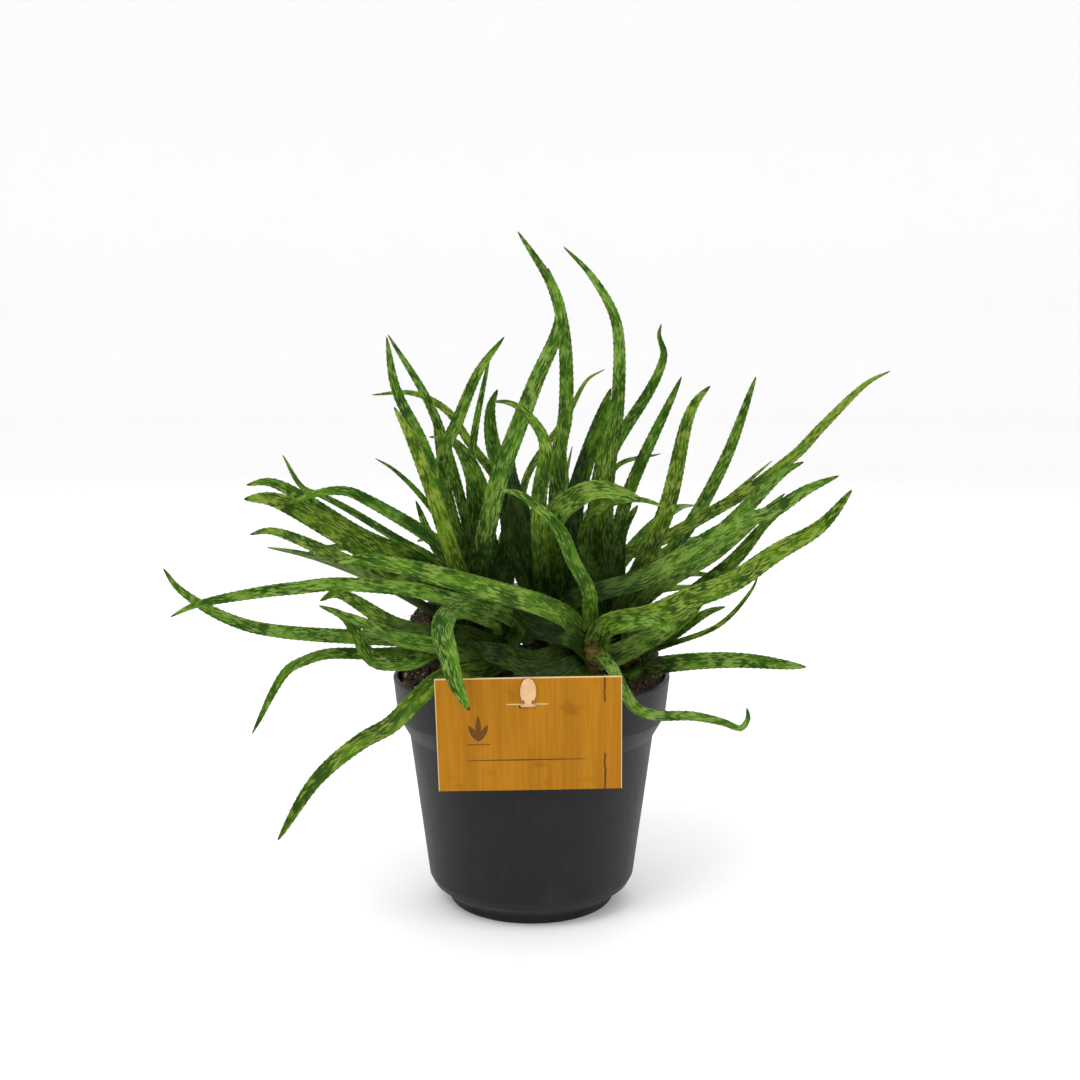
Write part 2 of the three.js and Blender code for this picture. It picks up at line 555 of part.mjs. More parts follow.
// The stake: a strip that follows its middle line, or with a clearance the slot that it stands in.
function stakeSolid(clearance) {
  const marks = stakeLine().map(([y, z]) => new THREE.Vector2(y, z));
  const line = new THREE.SplineCurve(marks).getPoints(STAKE_STEPS);
  const thick = STAKE.thick / 2 + clearance;
  const side = (i, sign) => {
    const along = line[Math.min(line.length - 1, i + 1)].clone().sub(line[Math.max(0, i - 1)]).normalize();
    return [line[i].x - sign * along.y * thick, line[i].y + sign * along.x * thick];
  };
  const edge = (sign) => line.map((point, i) => side(i, sign));
  const shape = outline([...edge(1), ...edge(-1).reverse()], THREE.Shape);
  const width = STAKE.width + 2 * clearance;
  const strip = new THREE.ExtrudeGeometry(shape, { depth: width, bevelEnabled: false });
  strip.translate(0, 0, -width / 2);
  strip.applyMatrix4(new THREE.Matrix4().makeBasis(Y_AXIS, Z_AXIS, X_AXIS)).translate(STAKE.x, 0, 0);
  return solidOf(strip);
}

const finish = (color, roughness) => new THREE.MeshStandardMaterial({ color, roughness, metalness: 0 });
const leafGreen = finish(0x4f7d2a, 0.45);
const potGrey = finish(0x3a3f43, 0.55);
const soilBrown = finish(0x2e2218, 0.95);
const cardOrange = finish(0xc58420, 0.6);
const stakeClear = finish(0xd9cdb4, 0.35);

const plant = new THREE.Group();
plant.name = "potted_spider_aloe";
const crowns = Object.entries(CROWNS);
const holes = [...crowns.map(([, crown]) => stemSolid(crown, GAP)), stakeSolid(GAP)];
plant.add(meshOf("pot", makePot(), potGrey));
plant.add(meshOf("soil", makeSoil(holes), soilBrown));
const leaves = listLeaves();
for (const [name, crown] of crowns) {
  const blades = leaves.filter((leaf) => leaf.crown === name).map(leafSolid);
  const shoot = blades.reduce((joined, blade) => joined.add(blade), stemSolid(crown, 0));
  plant.add(meshOf(`shoot_${name}`, wholeBody(shoot), leafGreen));
}
plant.add(meshOf("label_card", makeCard(), cardOrange));
plant.add(meshOf("label_stake", stakeSolid(0), stakeClear));

export default plant;
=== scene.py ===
"""A spider aloe in a plastic nursery pot, with a plain card hung on a stake."""
import math
import random
from collections import namedtuple

import bmesh
import bpy
from bpy.props import FloatProperty, FloatVectorProperty, IntProperty, PointerProperty
from mathutils import Euler, Matrix, Vector, noise


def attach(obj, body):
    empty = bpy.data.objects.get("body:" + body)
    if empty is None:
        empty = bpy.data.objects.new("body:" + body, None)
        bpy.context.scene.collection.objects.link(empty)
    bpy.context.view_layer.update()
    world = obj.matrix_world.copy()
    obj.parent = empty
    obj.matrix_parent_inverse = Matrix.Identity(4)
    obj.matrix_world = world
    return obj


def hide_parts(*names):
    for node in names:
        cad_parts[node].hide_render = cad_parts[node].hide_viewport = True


bl_info = {
    "name": "Potted spider aloe",
    "version": (1, 0, 0),
    "blender": (4, 5, 0),
    "location": "View3D > Sidebar > Aloe",
    "description": "Builds a potted spider aloe around its frame",
    "category": "Object",
}

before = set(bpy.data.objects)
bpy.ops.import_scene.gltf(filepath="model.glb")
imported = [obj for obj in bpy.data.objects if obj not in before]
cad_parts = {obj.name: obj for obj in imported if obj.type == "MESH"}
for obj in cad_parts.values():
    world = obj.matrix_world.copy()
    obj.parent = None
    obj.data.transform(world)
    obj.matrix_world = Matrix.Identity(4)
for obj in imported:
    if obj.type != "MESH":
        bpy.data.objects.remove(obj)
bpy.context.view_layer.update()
BODY = "root"
MM = 0.001

# The pot, in millimetres.
POT_HEIGHT = 100
RIM_RADIUS = 60
RIM_EDGE = 0.6
EDGE_ROUNDING = 0.5
COLLAR_FOOT = (58.2, 83)
SHOULDER = (53.1, 74.5)
BODY_FOOT = (44.9, 12)
FOOT_RADIUS = 36
WALL = 1.2
PAD_RADIUS = 11
GROOVE_DEPTH = 1.6
FOOT_RING_WIDTH = 5
FLOOR_Z = WALL + GROOVE_DEPTH
DRAIN_HOLES = 8
DRAIN_RADIUS = 3
DRAIN_CIRCLE = 21
GAP = 0.35  # between the soil and the pot

# The soil: a dome with a steep heap at the back left, a lower one at the right, and small clods. A heap
# is its place across and back, its height and its spread.
SOIL_EDGE_Z = 94
SOIL_DOME = 12
SOIL_HEAPS = [(-47, 16, 30, 13), (48, 6, 15, 12)]
CRUMB_REACH = RIM_RADIUS - WALL - 2.2  # how far from the middle crumbs and fibres start
FIBRE_REACH = RIM_RADIUS - 2.5  # how far from it a fibre may run

# The front view that the leaves were laid out in: an eye this far in front of the pot's axis, at
# this height, that looks down by this angle. Its frame is as wide as FRAME_WIDTH at that distance,
# and the pot's axis is AXIS_OFF to the left of its middle.
VIEW_DISTANCE = 600
VIEW_HEIGHT = 236
VIEW_TILT = math.radians(7.4)
FRAME_WIDTH = 461.5
AXIS_OFF = 3.63

# Leaves.
BLADE_SIDES = 12
LEAST_RINGS = 24
THICKNESS = 0.34  # a share of the half width
EDGE_RISE = 0.35  # how high the edges stand over the midrib, as a share of the thickness
KEEL_DROP = 1.1  # how deep the keel hangs under it, likewise
ROOT_DROP = 5  # how far below its crown a leaf starts
FAN_POINTS = 6
GOLDEN = 0.618  # steps that never repeat, for rises, turns and seeds
LAID_TURN = 40  # the whole range, in degrees, of a laid-out leaf's turn about its midrib
FAN_TURN = 50  # the same in a fan
FAN_STRAY = 10  # the whole range, in degrees, of a fan's leaf about its even bearing
FAN_WIDER = 4  # how much wider than its fan's width a leaf may be
LAID_FACE = Vector((0, -1, 0.55))  # the way a laid-out leaf's upper face looks: to the front and up
FAN_FACE_UP = 1.1  # how much a fan's leaf looks up, against its look back to its crown

# The short stems, and the dry scales that clasp them.
STEM_RADIUS = 4
STEM_SUNK = 16  # how deep a stem stands in the soil
STEM_RINGS = 14
SCALE_DROP = 15  # how far below its crown a stem's lowest scale starts
SCALE_CLIMB = 9  # the height over which its scales start
SCALE_LENGTH = 13
SCALE_HALF = 4.2
SCALE_THICK = 0.35
SCALE_SPREAD = 6.2  # how far a scale's tip stands off its stem
SCALE_SPREAD_FRONT = 1.6  # the same on the stems in the front row, which are in view
FRONT_ROW = -20

# The clump of leaves as an ellipsoid, with shade painted darker towards its middle, and what the colours
# are multiplied by: in a warm leaf, and in the painted shade.
CLUMP_MIDDLE = (0, 8, 112)
CLUMP_REACH = (80, 58, 74)
WARM_LEAF = (1.4, 1.05, 0.6)
SHADED_LEAF = (0.07, 0.11, 0.04)
SHADED_STEM = (0.1, 0.1, 0.07)

# The crowns: where the leaves of each shoot meet, on a short stem that stands in the soil.
CROWNS = {
    "front_right": Vector((25, -32, 117)),
    "front_left": Vector((-13, -24, 111)),
    "left": Vector((-23, 7, 114)),
    "middle": Vector((6, 8, 116)),
    "right": Vector((33, 9, 114)),
    "far_right": Vector((41, -14, 108)),
    "back_left": Vector((-13, 36, 112)),
    "back_right": Vector((19, 36, 112)),
}

# Leaves laid out in the front view, by crown: (width, depth of the tip towards the back, bow of the
# middle towards the back, then the points of the midrib). A third number fixes a point's depth.
LAID_OUT = {
    "front_right": [
        (5.8, -72, 8, (28.5, -49, -38), (34, -54.5, -50), (39, -64, -59), (44.5, -72, -64),
         (52.5, -75, -66), (69, -75.5, -70), (81.5, -78, -72), (89.5, -80.5, -73),
         (92.5, -76.5, -72), (92, -71.5, -72)),
        (9.8, -74, 0, (18, -36, -38), (9, -30, -46), (-16, -22, -58), (-72, -8.5), (-84.5, -9.5)),
        (6.8, -44, 0, (25, -30, -38), (24, -21.5, -45), (17.5, -8.5, -52), (12, 4), (0, 16),
         (-6.5, 20), (-14, 21.5)),
        (9.6, -40, 0, (32, -37, -40), (50.5, -32.5, -46), (67.5, -25), (85.5, -18), (105, -5),
         (123.5, 6), (137, 21.5)),
        (8, -58, 0, (32.5, -38, -44), (44, -34.5, -54), (53, -34.5, -58), (60, -39.5, -58)),
        (12, -18, 8, (14.5, -43), (-8.5, -25.5), (-19.5, -20.5)),
        (11, -18, 0, (37, -49), (60, -37), (73, -27.5)),
    ],
    "front_left": [
        (11.6, -76, 0, (-11.5, -36.2, -32), (-19, -33, -40), (-29, -30.5, -50), (-35.8, -32.5, -60),
         (-37.8, -39.5, -68), (-35.2, -49.5, -73), (-32, -61.5, -76), (-26.5, -73, -77)),
        (8.6, -70, 0, (-18.7, -54, -34), (-29.9, -55.7, -42), (-40.4, -60.7, -49),
         (-50.4, -69.7, -56), (-59.9, -79, -60), (-73, -86.5, -62), (-91.5, -102.3), (-108.5, -128.5)),
        (6.8, -62, 16, (-6, -37, -38), (-13.5, -31, -44), (-38.5, -24.5), (-50, -21.5),
         (-84.5, -19), (-99.5, -20.5), (-113, -22), (-144, -28), (-154.5, -33)),
        (7.2, -24, 0, (-26.5, -46), (-122, -36.5), (-150, -21.5), (-157.5, -12)),
        (8.4, 2, 0, (-32.5, -43), (-58, -36.5), (-83, -23), (-90.5, -26)),
        (9.6, -42, -8, (-39, -46), (-56, -42.5), (-83.5, -30.5)),
        (7.6, -40, 8, (-28, -46.5, -34), (-40, -46.5, -42), (-49, -51.5, -47), (-58, -53, -48),
         (-67.5, -51.5), (-79.5, -33.5), (-91, -28)),
        (5.6, -20, 4, (-30.5, -48.5), (-68, -48.7), (-87.5, -48.8), (-96.5, -51.5), (-104.5, -56),
         (-119.5, -83)),
        (5.2, -46, 0, (-13.5, -54.5, -38), (-20.5, -57.5, -43), (-29.5, -56, -46)),
    ],
    "left": [
        (12.6, -26, 0, (-39, -21.5), (-56, -13), (-79, 1.7), (-105, 15.4), (-113, 17.8), (-123, 17.5)),
        (8.6, -4, 4, (-43.5, -13), (-73.5, 2), (-111, 24.5), (-122, 23.5)),
        (6.8, -34, 0, (-30.5, -11.5), (-40, -1.5), (-69.5, 16.5), (-78.5, 20.5), (-88, 20.5),
         (-106, 15)),
        (7.2, 32, -4, (-39, -22), (-67.5, -13.7), (-111, 3.8), (-120.5, 2.3)),
        (7, -12, 0, (-29.5, -8.5), (-47, 41.5), (-58, 64.5), (-62, 87)),
        (7.6, -30, -20, (-31.5, -13.5), (-45, 27.5), (-53.3, 47), (-58.8, 57)),
        (6.6, -22, 16, (-29.5, -8.5), (-38, 33.5), (-31.5, 51), (-22.5, 72), (-11.5, 87)),
        (12.4, 10, 8, (-17.5, -13.5), (-20.5, 2.5), (-20.5, 13.5), (-23.5, 24), (-28, 35), (-35, 44.5)),
        (8.4, 8, 12, (-32.5, -13.5), (-38, 25), (-38, 37.5), (-40, 43.5), (-44, 44)),
        (8.6, -14, 0, (-23, -18, -8), (-21, -4.5, -16), (-17.5, 11.5, -20), (-14, 25.5), (0.8, 65),
         (12.3, 95.5), (7, 116.5)),
    ],
    "middle": [
        (7.2, -18, 16, (9, -9.5), (12, 39.5), (14.5, 53.5), (13.8, 88.5), (8.8, 108), (-6, 132)),
        (12.6, -34, 0, (7.5, -18, -2), (6.5, -4.5, -10), (9.5, 9.5, -18), (19, 18, -24),
         (28.5, 21.5), (47, 17.5)),
        (9.4, -36, 0, (18.5, -25.5, -6), (31, -21.5, -12), (47, -17), (80, 2.5), (91, 8),
         (102, 11.5), (118, 21.5), (131.5, 27.5)),
        (3.8, 48, 0, (-4, 0), (-2.5, 25.5), (15.5, 53.5), (24, 68.5), (31.5, 73)),
        (10.6, 26, 8, (16, -13), (17, 13), (20.5, 25.5), (28, 48.5), (34, 65)),
        (3.4, 36, 12, (12, -8.5), (13, 17), (17.5, 40.5)),
        (8, -22, -20, (4, -13), (3, 17), (5.5, 41.5), (-3.5, 55), (-10.5, 58.8), (-17.5, 59)),
        (10, 40, 8, (3.5, -8.5), (-3, 8.5), (-16, 38.5), (-17.5, 56), (-14.5, 64.5)),
    ],
    "right": [
        (6.8, 14, 0, (32.5, -8.5), (32, 17), (34, 38.5), (36, 48.5), (37.3, 85), (34.8, 97),
         (25, 113.5), (13.5, 125.5)),
        (9.6, 2, 0, (27, -13), (28.5, 17), (36.5, 65.5)),
        (6.6, 6, 8, (34.5, -13), (39.7, 15), (64.2, 70)),
        (8.6, -12, 0, (40, -25.5), (57, 11.5), (66.5, 51), (70.5, 59.5), (76.5, 66)),
        (7.4, 20, 4, (36.5, -19), (38.5, 3), (45.5, 15)),
        (3.4, 42, 0, (30, -8.5), (35.5, 30.5), (55.5, 37)),
        (5, -32, 4, (26.5, -15), (22, -1), (25, 9), (35.5, 16), (47, 17), (58.5, 13.5)),
        (9, 24, 0, (46.5, -19), (78, 0.5), (107.5, 28.8), (116.5, 33.5)),
        (4, 44, 0, (44.5, -25.5), (51.5, -22), (73.5, -19.5)),
    ],
    "far_right": [
        (8, 2, 0, (46.5, -28), (80.5, -5), (108.5, 20)),
        (9, 4, 0, (46.5, -42), (86.5, -9), (99.5, 6), (106.5, 11.5)),
        (3, -38, 0, (50.5, -48), (80, -36.5), (94, -21.5), (97, -15)),
        (5.4, -18, 16, (48.5, -47), (58.5, -42), (73.5, -32), (83, -28.5)),
        (7.6, -28, -8, (53, -53.8), (85.5, -51.3), (117.5, -54.3)),
    ],
    "back_left": [
        (5.6, 26, 0, (-35, -14.5), (-44, -7), (-56, -0.5), (-78.5, 13), (-90, 19), (-98, 22.5),
         (-106.5, 36.5)),
        (5.4, 16, 0, (-23, -8.5), (-42, 54.5), (-61.5, 88)),
        (5, 62, 0, (-8.5, 0), (-11.5, 17), (-16, 27.5), (-26.5, 41.5), (-36, 55), (-50, 62.5),
         (-68.5, 62)),
        (5.2, 34, 0, (-19.5, -8.5), (-25.5, 17), (-25, 39.5), (-17.5, 80.5)),
        (3.6, 40, 0, (-26.5, -11), (-47, 18.5), (-59.5, 30.5), (-67, 35)),
        (3.6, 30, 12, (-29, 0), (-37.5, 25.5), (-42, 51.5)),
        (6, 46, 0, (-30.5, -17), (-41.5, -2), (-49.5, 17)),
    ],
    "back_right": [
        (6.6, 34, 0, (23.5, -16), (32, -8.5), (47, -4), (80, 13.5), (92.5, 21), (113.5, 37),
         (124, 48.2), (143.5, 67), (153.5, 72.3)),
        (7.6, 44, 4, (33.5, -22), (50.5, -13.5), (64.5, 1.5), (82.5, 33.5), (96, 70)),
        (7, 40, 8, (24, -8.5), (29.5, 17), (33, 35), (50, 63), (54.5, 72), (56.5, 79.5),
         (54.5, 87.5), (55.5, 92.5)),
        (3.6, 66, 0, (29.5, -15), (72, 8.5), (103, 34)),
    ],
}

# Leaves that the front view hides, in fans: long ones round the back of the clump, and short broad
# ones low round the stems. A fan's leaves rise from its lowest angle by up to its spread, are at
# least as wide as its width, and have shade painted on them by its last number. Bearings are in degrees
# from +X towards +Y, and each leaf has a (turn, lift) in degrees that bends it clear of its neighbours.
Habit = namedtuple("Habit", "lowest spread sway width gloom")
HIDDEN = Habit(18, 44, 34, 7, 0)
BASAL = Habit(6, 30, 10, 8.5, 0.75)
Fan = namedtuple("Fan", "habit crown start stop length bends")
FANS = [
    Fan(HIDDEN, "back_left", 75, 178, 150, [(0, 0), (0, 0), (0, 0), (0, 10), (0, 8), (0, 0), (0, -12)]),
    Fan(HIDDEN, "back_right", 14, 108, 150, [(0, 18), (-9, 0), (0, 0), (22, -12), (0, 12), (0, 0), (0, 8)]),
    Fan(HIDDEN, "left", 120, 165, 120, [(22, 34), (42, -12)]),
    Fan(BASAL, "middle", -170, -10, 42, [(-6, 38), (-6, 4), (18, 12), (0, 0)]),
    Fan(BASAL, "left", 180, 330, 38, [(34, 0), (0, 12), (-38, -12), (-46, 34)]),
    Fan(BASAL, "right", -130, -40, 38, [(0, 8), (0, 0), (12, 28)]),
    Fan(BASAL, "far_right", -150, -60, 30, [(34, 8), (26, -8)]),
    Fan(BASAL, "back_left", 215, 330, 30, [(18, 24), (0, 0)]),
    Fan(BASAL, "back_right", 220, 340, 40, [(18, 4), (0, 12)]),
]

# Broad leaves in the shade between the front leaves and the soil, laid out as those above, with shade
# painted on them in full.
UNDERGROWTH = {
    "front_right": [
        (12.5, -46, -4, (14, -50, -38), (2, -53, -42), (-14, -49, -45), (-29, -44.5)),
        (10, -56, -4, (18, -54, -42), (6, -58, -47), (-8, -57)),
        (11, -42, -18, (16, -41, -28), (2, -38, -22), (-8, -30)),
    ],
    "front_left": [
        (11, -30, 4, (-24, -43, -30), (-34, -40, -34), (-44, -38)),
    ],
    "left": [
        (9, 14, 0, (-16, -20), (-10, 0), (-12, 16), (-13, 28)),
    ],
    "middle": [
        (9.5, 8, -4, (2, -26), (-5, -10), (-9, 6), (-8, 20)),
        (8, 4, -8, (1, -13), (-4, 12), (-8, 27), (-8.5, 38)),
        (10.5, 4, -4, (12, -20), (17, 4), (20, 24), (23, 40)),
    ],
}

# The hanging card and its stake.
CARD_SIZE = (73, 48.4, 0.8)
CARD_PLACE = (-0.9, -61.6, 89)
CARD_LEAN = 10.2
CARD_ROLL = -1.1
CARD_WARP = 0.25
SHEET = 0.8  # how thick the warped sheet is, as a share of the card's thickness
SLIT_ABOVE = 11.9  # how far the slit is over the card's middle
CUT_SIZE = (6.6, 1.2)
NECK = 10  # how far from the stake's tip its neck is
TONGUE = 5.5  # how far from the tip it is rounded
CRACK = {"x": 29.8, "clear": 2.5}  # in the printed wood, with none near this height
RULE = {"x": -1.3, "z": -10.9, "half": 27}
MOTIF = (-20, -3)  # the foot of the printed tuft
MOTIF_LEAF = (12, 2.6)
STAKE_X = -1.3
STAKE_WIDTH = 6.2
STAKE_THICK = 0.9
STAKE_INSIDE = 53.4  # how far in front of the pot's axis it stands inside the rim
STAKE_FOOT = 48  # how high its foot is
# the colour of the highlight painted along the stake's rims
STAKE_RIM_HIGHLIGHT = (0.85, 0.68, 0.45)

# The stage, in metres: the floor's outline, which rises all round, each light's place and size, and
# where the lights point.
STAGE_OUTLINE = [(0, 0), (2.4, 0), (2.9, 0.08), (3.3, 0.35), (3.55, 0.9), (3.6, 2.4)]
LIGHTS = {
    "key": ((-0.75, -0.95, 1.35), 0.9),
    "side": ((1.15, -0.6, 0.8), 0.8),
    "back": ((0.2, 1.2, 1.2), 1.0),
}
LIT_PLACE = Vector((0, 0, 0.14))

# What each vertex of a blade tells its material, and what each ring of a blade holds.
MARKS = ("across", "reach", "seed", "share", "margin", "top", "gloom")
Station = namedtuple("Station", "place along across out half thick share reach")


class Wire:
    """A value or colour in a shader, which Python arithmetic joins to others."""

    def __init__(self, graph, socket):
        self.graph = graph
        self.socket = socket

    def math(self, operation, *others):
        inputs = dict(enumerate((self, *others)))
        return self.graph.node("ShaderNodeMath", {"operation": operation}, inputs)

    def __add__(self, other):
        return self.math("ADD", other)

    __radd__ = __add__

    def __mul__(self, other):
        return self.math("MULTIPLY", other)

    __rmul__ = __mul__

    def __sub__(self, other):
        return self.math("SUBTRACT", other)

    def __rsub__(self, other):
        return self * -1 + other

    def __truediv__(self, other):
        return self.math("DIVIDE", other)

    def __pow__(self, other):
        return self.math("POWER", other)

    def __abs__(self):
        return self.math("ABSOLUTE")

    def most(self, other):
        return self.math("MAXIMUM", other)

    def step(self, low, high):
        """Rises smoothly from 0 at low to 1 at high."""
        inputs = {"Value": self, "From Min": low, "From Max": high}
        return self.graph.node("ShaderNodeMapRange", {"interpolation_type": "SMOOTHSTEP"}, inputs)


class Graph:
    """A material built up node by node."""

    def __init__(self, name):
        self.material = bpy.data.materials.new(name)
        self.material.use_nodes = True
        self.tree = self.material.node_tree
        self.tree.nodes.clear()

    def node(self, kind, settings=None, inputs=None, output=0):
        made = self.tree.nodes.new(kind)
        for name, value in (settings or {}).items():
            setattr(made, name, value)
        for name, value in (inputs or {}).items():
            socket = made.inputs[name]
            if isinstance(value, Wire):
                self.tree.links.new(value.socket, socket)
            else:
                socket.default_value = value
        return Wire(self, made.outputs[output]) if made.outputs else None

    def attribute(self, name):
        return self.node("ShaderNodeAttribute", {"attribute_name": name}, output="Fac")

    def place(self):
        """The place on the object, in millimetres."""
        found = self.node("ShaderNodeTexCoord", output="Object")
        inputs = {0: found, "Scale": 1 / MM}
        return self.node("ShaderNodeVectorMath", {"operation": "SCALE"}, inputs)

    def split(self, vector, axis):
        return self.node("ShaderNodeSeparateXYZ", inputs={0: vector}, output="XYZ".index(axis))

    def noise(self, vector, scale=1.0, detail=2.0, roughness=0.5, distortion=0.0):
        inputs = {
            "Vector": vector,
            "Scale": scale,
            "Detail": detail,
            "Roughness": roughness,
            "Distortion": distortion,
        }
        return self.node("ShaderNodeTexNoise", inputs=inputs)

    def stretched(self, x, y, z, *settings):
        """Noise at a place of three values, which stretch it by what they are multiplied by."""
        where = self.node("ShaderNodeCombineXYZ", inputs={0: x, 1: y, 2: z})
        return self.noise(where, 1.0, *settings)

    def mix(self, share, first, second, blend="MIX"):
        settings = {"data_type": "RGBA", "blend_type": blend}
        first, second = (c if isinstance(c, Wire) else (*c, 1.0) for c in (first, second))
        return self.node("ShaderNodeMix", settings, {0: share, 6: first, 7: second}, output=2)

    def finish(self, colour, roughness, height=None, bump=0.0, depth=0.0, specular=0.5):
        """Puts the surface together. The bump's depth is in millimetres."""
        inputs = {"Base Color": colour, "Roughness": roughness, "Specular IOR Level": specular}
        if height is not None:
            relief = {"Strength": bump, "Distance": depth * MM, "Height": height}
            inputs["Normal"] = self.node("ShaderNodeBump", inputs=relief)
        surface = self.node("ShaderNodeBsdfPrincipled", inputs=inputs)
        self.node("ShaderNodeOutputMaterial", inputs={"Surface": surface})
        return self.material


def setting(name, default, text, **kwargs):
    """A length in millimetres or a plain number that a user may change."""
    return FloatProperty(name=name, default=default, description=text, **kwargs)


def colour(name, default, text):
    return FloatVectorProperty(name=name, default=default, description=text, subtype="COLOR", min=0, max=1)


class AloeLeafSettings(bpy.types.PropertyGroup):
    """Sizes and colours of the leaves"""

    station: setting("Station pitch", 0.7, "Millimetres between the rings of a blade")
    tooth_height: setting("Tooth height", 0.22, "How far a tooth stands out of the margin, in millimetres")
    tooth_every: IntProperty(name="Tooth spacing", default=4, min=2, description="Rings to a tooth")
    channel: setting("Channel", 0.6, "How deep the upper face is hollowed, as a share of its thickness")
    clasp: setting("Clasp", 12.0, "How far from the stem a blade's foot is cupped round it, in millimetres")
    flare: setting("Base flare", 0.2, "How much wider the blade is where it clasps the stem")
    dark: colour("Dark green", (0.013, 0.046, 0.001), "Ground colour of a leaf")
    middle: colour("Middle green", (0.052, 0.14, 0.003), "Lighter ground colour of a leaf")
    light: colour("Fleck", (0.2, 0.31, 0.055), "Colour of the flecks")
    tooth: colour("Tooth", (0.34, 0.38, 0.13), "Colour of the teeth and of the thin margin")
    scales: IntProperty(name="Scales", default=15, min=0, description="Dry scales that clasp each stem")
    # How strong the shade painted in the middle of the clump is.
    shade: setting("Shade", 0.88, "How dark the leaves are in the middle of the clump", min=0, max=1)
    tip: colour("Tip", (0.04, 0.025, 0.008), "Colour of the dry tips")
    stem: colour("Stem", (0.25, 0.19, 0.04), "Colour of the short stems")


class AloePotSettings(bpy.types.PropertyGroup):
    """Finish of the pot"""

    sides: IntProperty(name="Sides", default=128, min=24, description="Steps round the pot")
    colour: colour("Plastic", (0.006, 0.0068, 0.0068), "Colour of the pot")
    dust: colour("Dust", (0.024, 0.025, 0.0245), "Colour of the dust on the pot")
    roughness: setting("Roughness", 0.5, "Roughness of the plastic", min=0, max=1)


class AloeSoilSettings(bpy.types.PropertyGroup):
    """Grain of the soil"""

    crumbs: IntProperty(name="Crumbs", default=1900, min=0, description="Loose crumbs on the surface")
    fibres: IntProperty(name="Fibres", default=260, min=0, description="Loose fibres on the surface")
    dark: colour("Peat", (0.01, 0.006, 0.003), "Darkest peat")
    light: colour("Dry peat", (0.06, 0.035, 0.017), "Lightest peat")
    pale: colour("Pale crumb", (0.5, 0.35, 0.16), "Bark and grit")


class AloeLabelSettings(bpy.types.PropertyGroup):
    """Print of the card and plastic of its stake"""

    ground: colour("Ground", (0.4, 0.17, 0.004), "Ground of the printed wood grain")
    grain: colour("Grain", (0.28, 0.1, 0.002), "Darker streaks of the grain")
    ink: colour("Ink", (0.07, 0.025, 0.006), "Dark ink")
    edge: colour("Cut edge", (0.72, 0.56, 0.32), "Colour of the card's cut edges")
    plastic: colour("Plastic", (0.66, 0.41, 0.2), "Colour of the stake")


class AloeStageSettings(bpy.types.PropertyGroup):
    """Floor and light"""

    floor: colour("Floor", (0.95, 0.95, 0.95), "Colour of the floor")
    sky: setting("Sky", 1.0, "Strength of the white surroundings", min=0)
    key: setting("Key light", 13.0, "Power of the main light in watts", min=0)
    fill: setting("Fill light", 4.0, "Power of the side lights in watts", min=0)


def add_object(name, bm, materials=(), unit=MM, smooth=True):
    """Turns a mesh, measured in this unit, into an object in the scene."""
    bmesh.ops.scale(bm, vec=(unit, unit, unit), verts=bm.verts)
    mesh = bpy.data.meshes.new(name)
    bm.to_mesh(mesh)
    bm.free()
    if smooth:
        mesh.shade_smooth()
    for material in materials:
        mesh.materials.append(material)
    made = bpy.data.objects.new(name, mesh)
    bpy.context.scene.collection.objects.link(made)
    return made


def add_piece(name, bm, materials, slot, *nodes, smooth=True):
    """Turns a mesh in millimetres into a piece that rides on the part and stands for its nodes."""
    piece = add_object(name, bm, materials, smooth=smooth)
    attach(piece, BODY)
    if nodes:
        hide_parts(*nodes)
    return piece


def spun(bm, profile, steps):
    """A closed skin from [radius, height] points, turned about Z."""
    chain = [bm.verts.new((r, 0, z)) for r, z in profile]
    edges = [bm.edges.new(pair) for pair in zip(chain, chain[1:])]
    spin = {"axis": (0, 0, 1), "cent": (0, 0, 0), "angle": 2 * math.pi, "steps": steps}
    bmesh.ops.spin(bm, geom=chain + edges, use_merge=True, **spin)
    bmesh.ops.remove_doubles(bm, verts=bm.verts, dist=1e-3)
    bmesh.ops.recalc_face_normals(bm, faces=bm.faces)


def skin(bm, rows, sides, place):
    """A closed skin: a grid whose corners go where place(vertex, row, side) says, then sewn up."""
    before = len(bm.faces)
    corners = bmesh.ops.create_grid(bm, x_segments=rows, y_segments=sides, size=1)["verts"]
    for corner in corners:
        row = round((corner.co.x + 1) / 2 * rows)
        side = round((corner.co.y + 1) / 2 * sides)
        corner.co = place(corner, row, side)
    bmesh.ops.remove_doubles(bm, verts=corners, dist=1e-4)
    bm.faces.ensure_lookup_table()
    made = bm.faces[before:]
    bmesh.ops.recalc_face_normals(bm, faces=made)
    return made


def pot_under():
    """The pot's underside, from the middle of its pad out to the foot ring."""
    ring = FOOT_RADIUS - FOOT_RING_WIDTH
    return [(0, 0), (PAD_RADIUS, 0), (PAD_RADIUS + 1, GROOVE_DEPTH), (ring - 1, GROOVE_DEPTH), (ring, 0)]


def pot_outside():
    """The pot's outer wall, from the foot up to the rim."""
    return [
        (FOOT_RADIUS - RIM_EDGE, 0),
        (FOOT_RADIUS, 0.8),
        (FOOT_RADIUS + 0.6, 3.4),
        (FOOT_RADIUS + 3.2, 5.8),
        (BODY_FOOT[0] - 1.8, BODY_FOOT[1] - 3.4),
        BODY_FOOT,
        SHOULDER,
        (SHOULDER[0] + 0.7, SHOULDER[1] + 1.1),
        (COLLAR_FOOT[0] - 0.6, COLLAR_FOOT[1] - 0.9),
        COLLAR_FOOT,
        (RIM_RADIUS, POT_HEIGHT - RIM_EDGE),
        (RIM_RADIUS - RIM_EDGE, POT_HEIGHT),
    ]


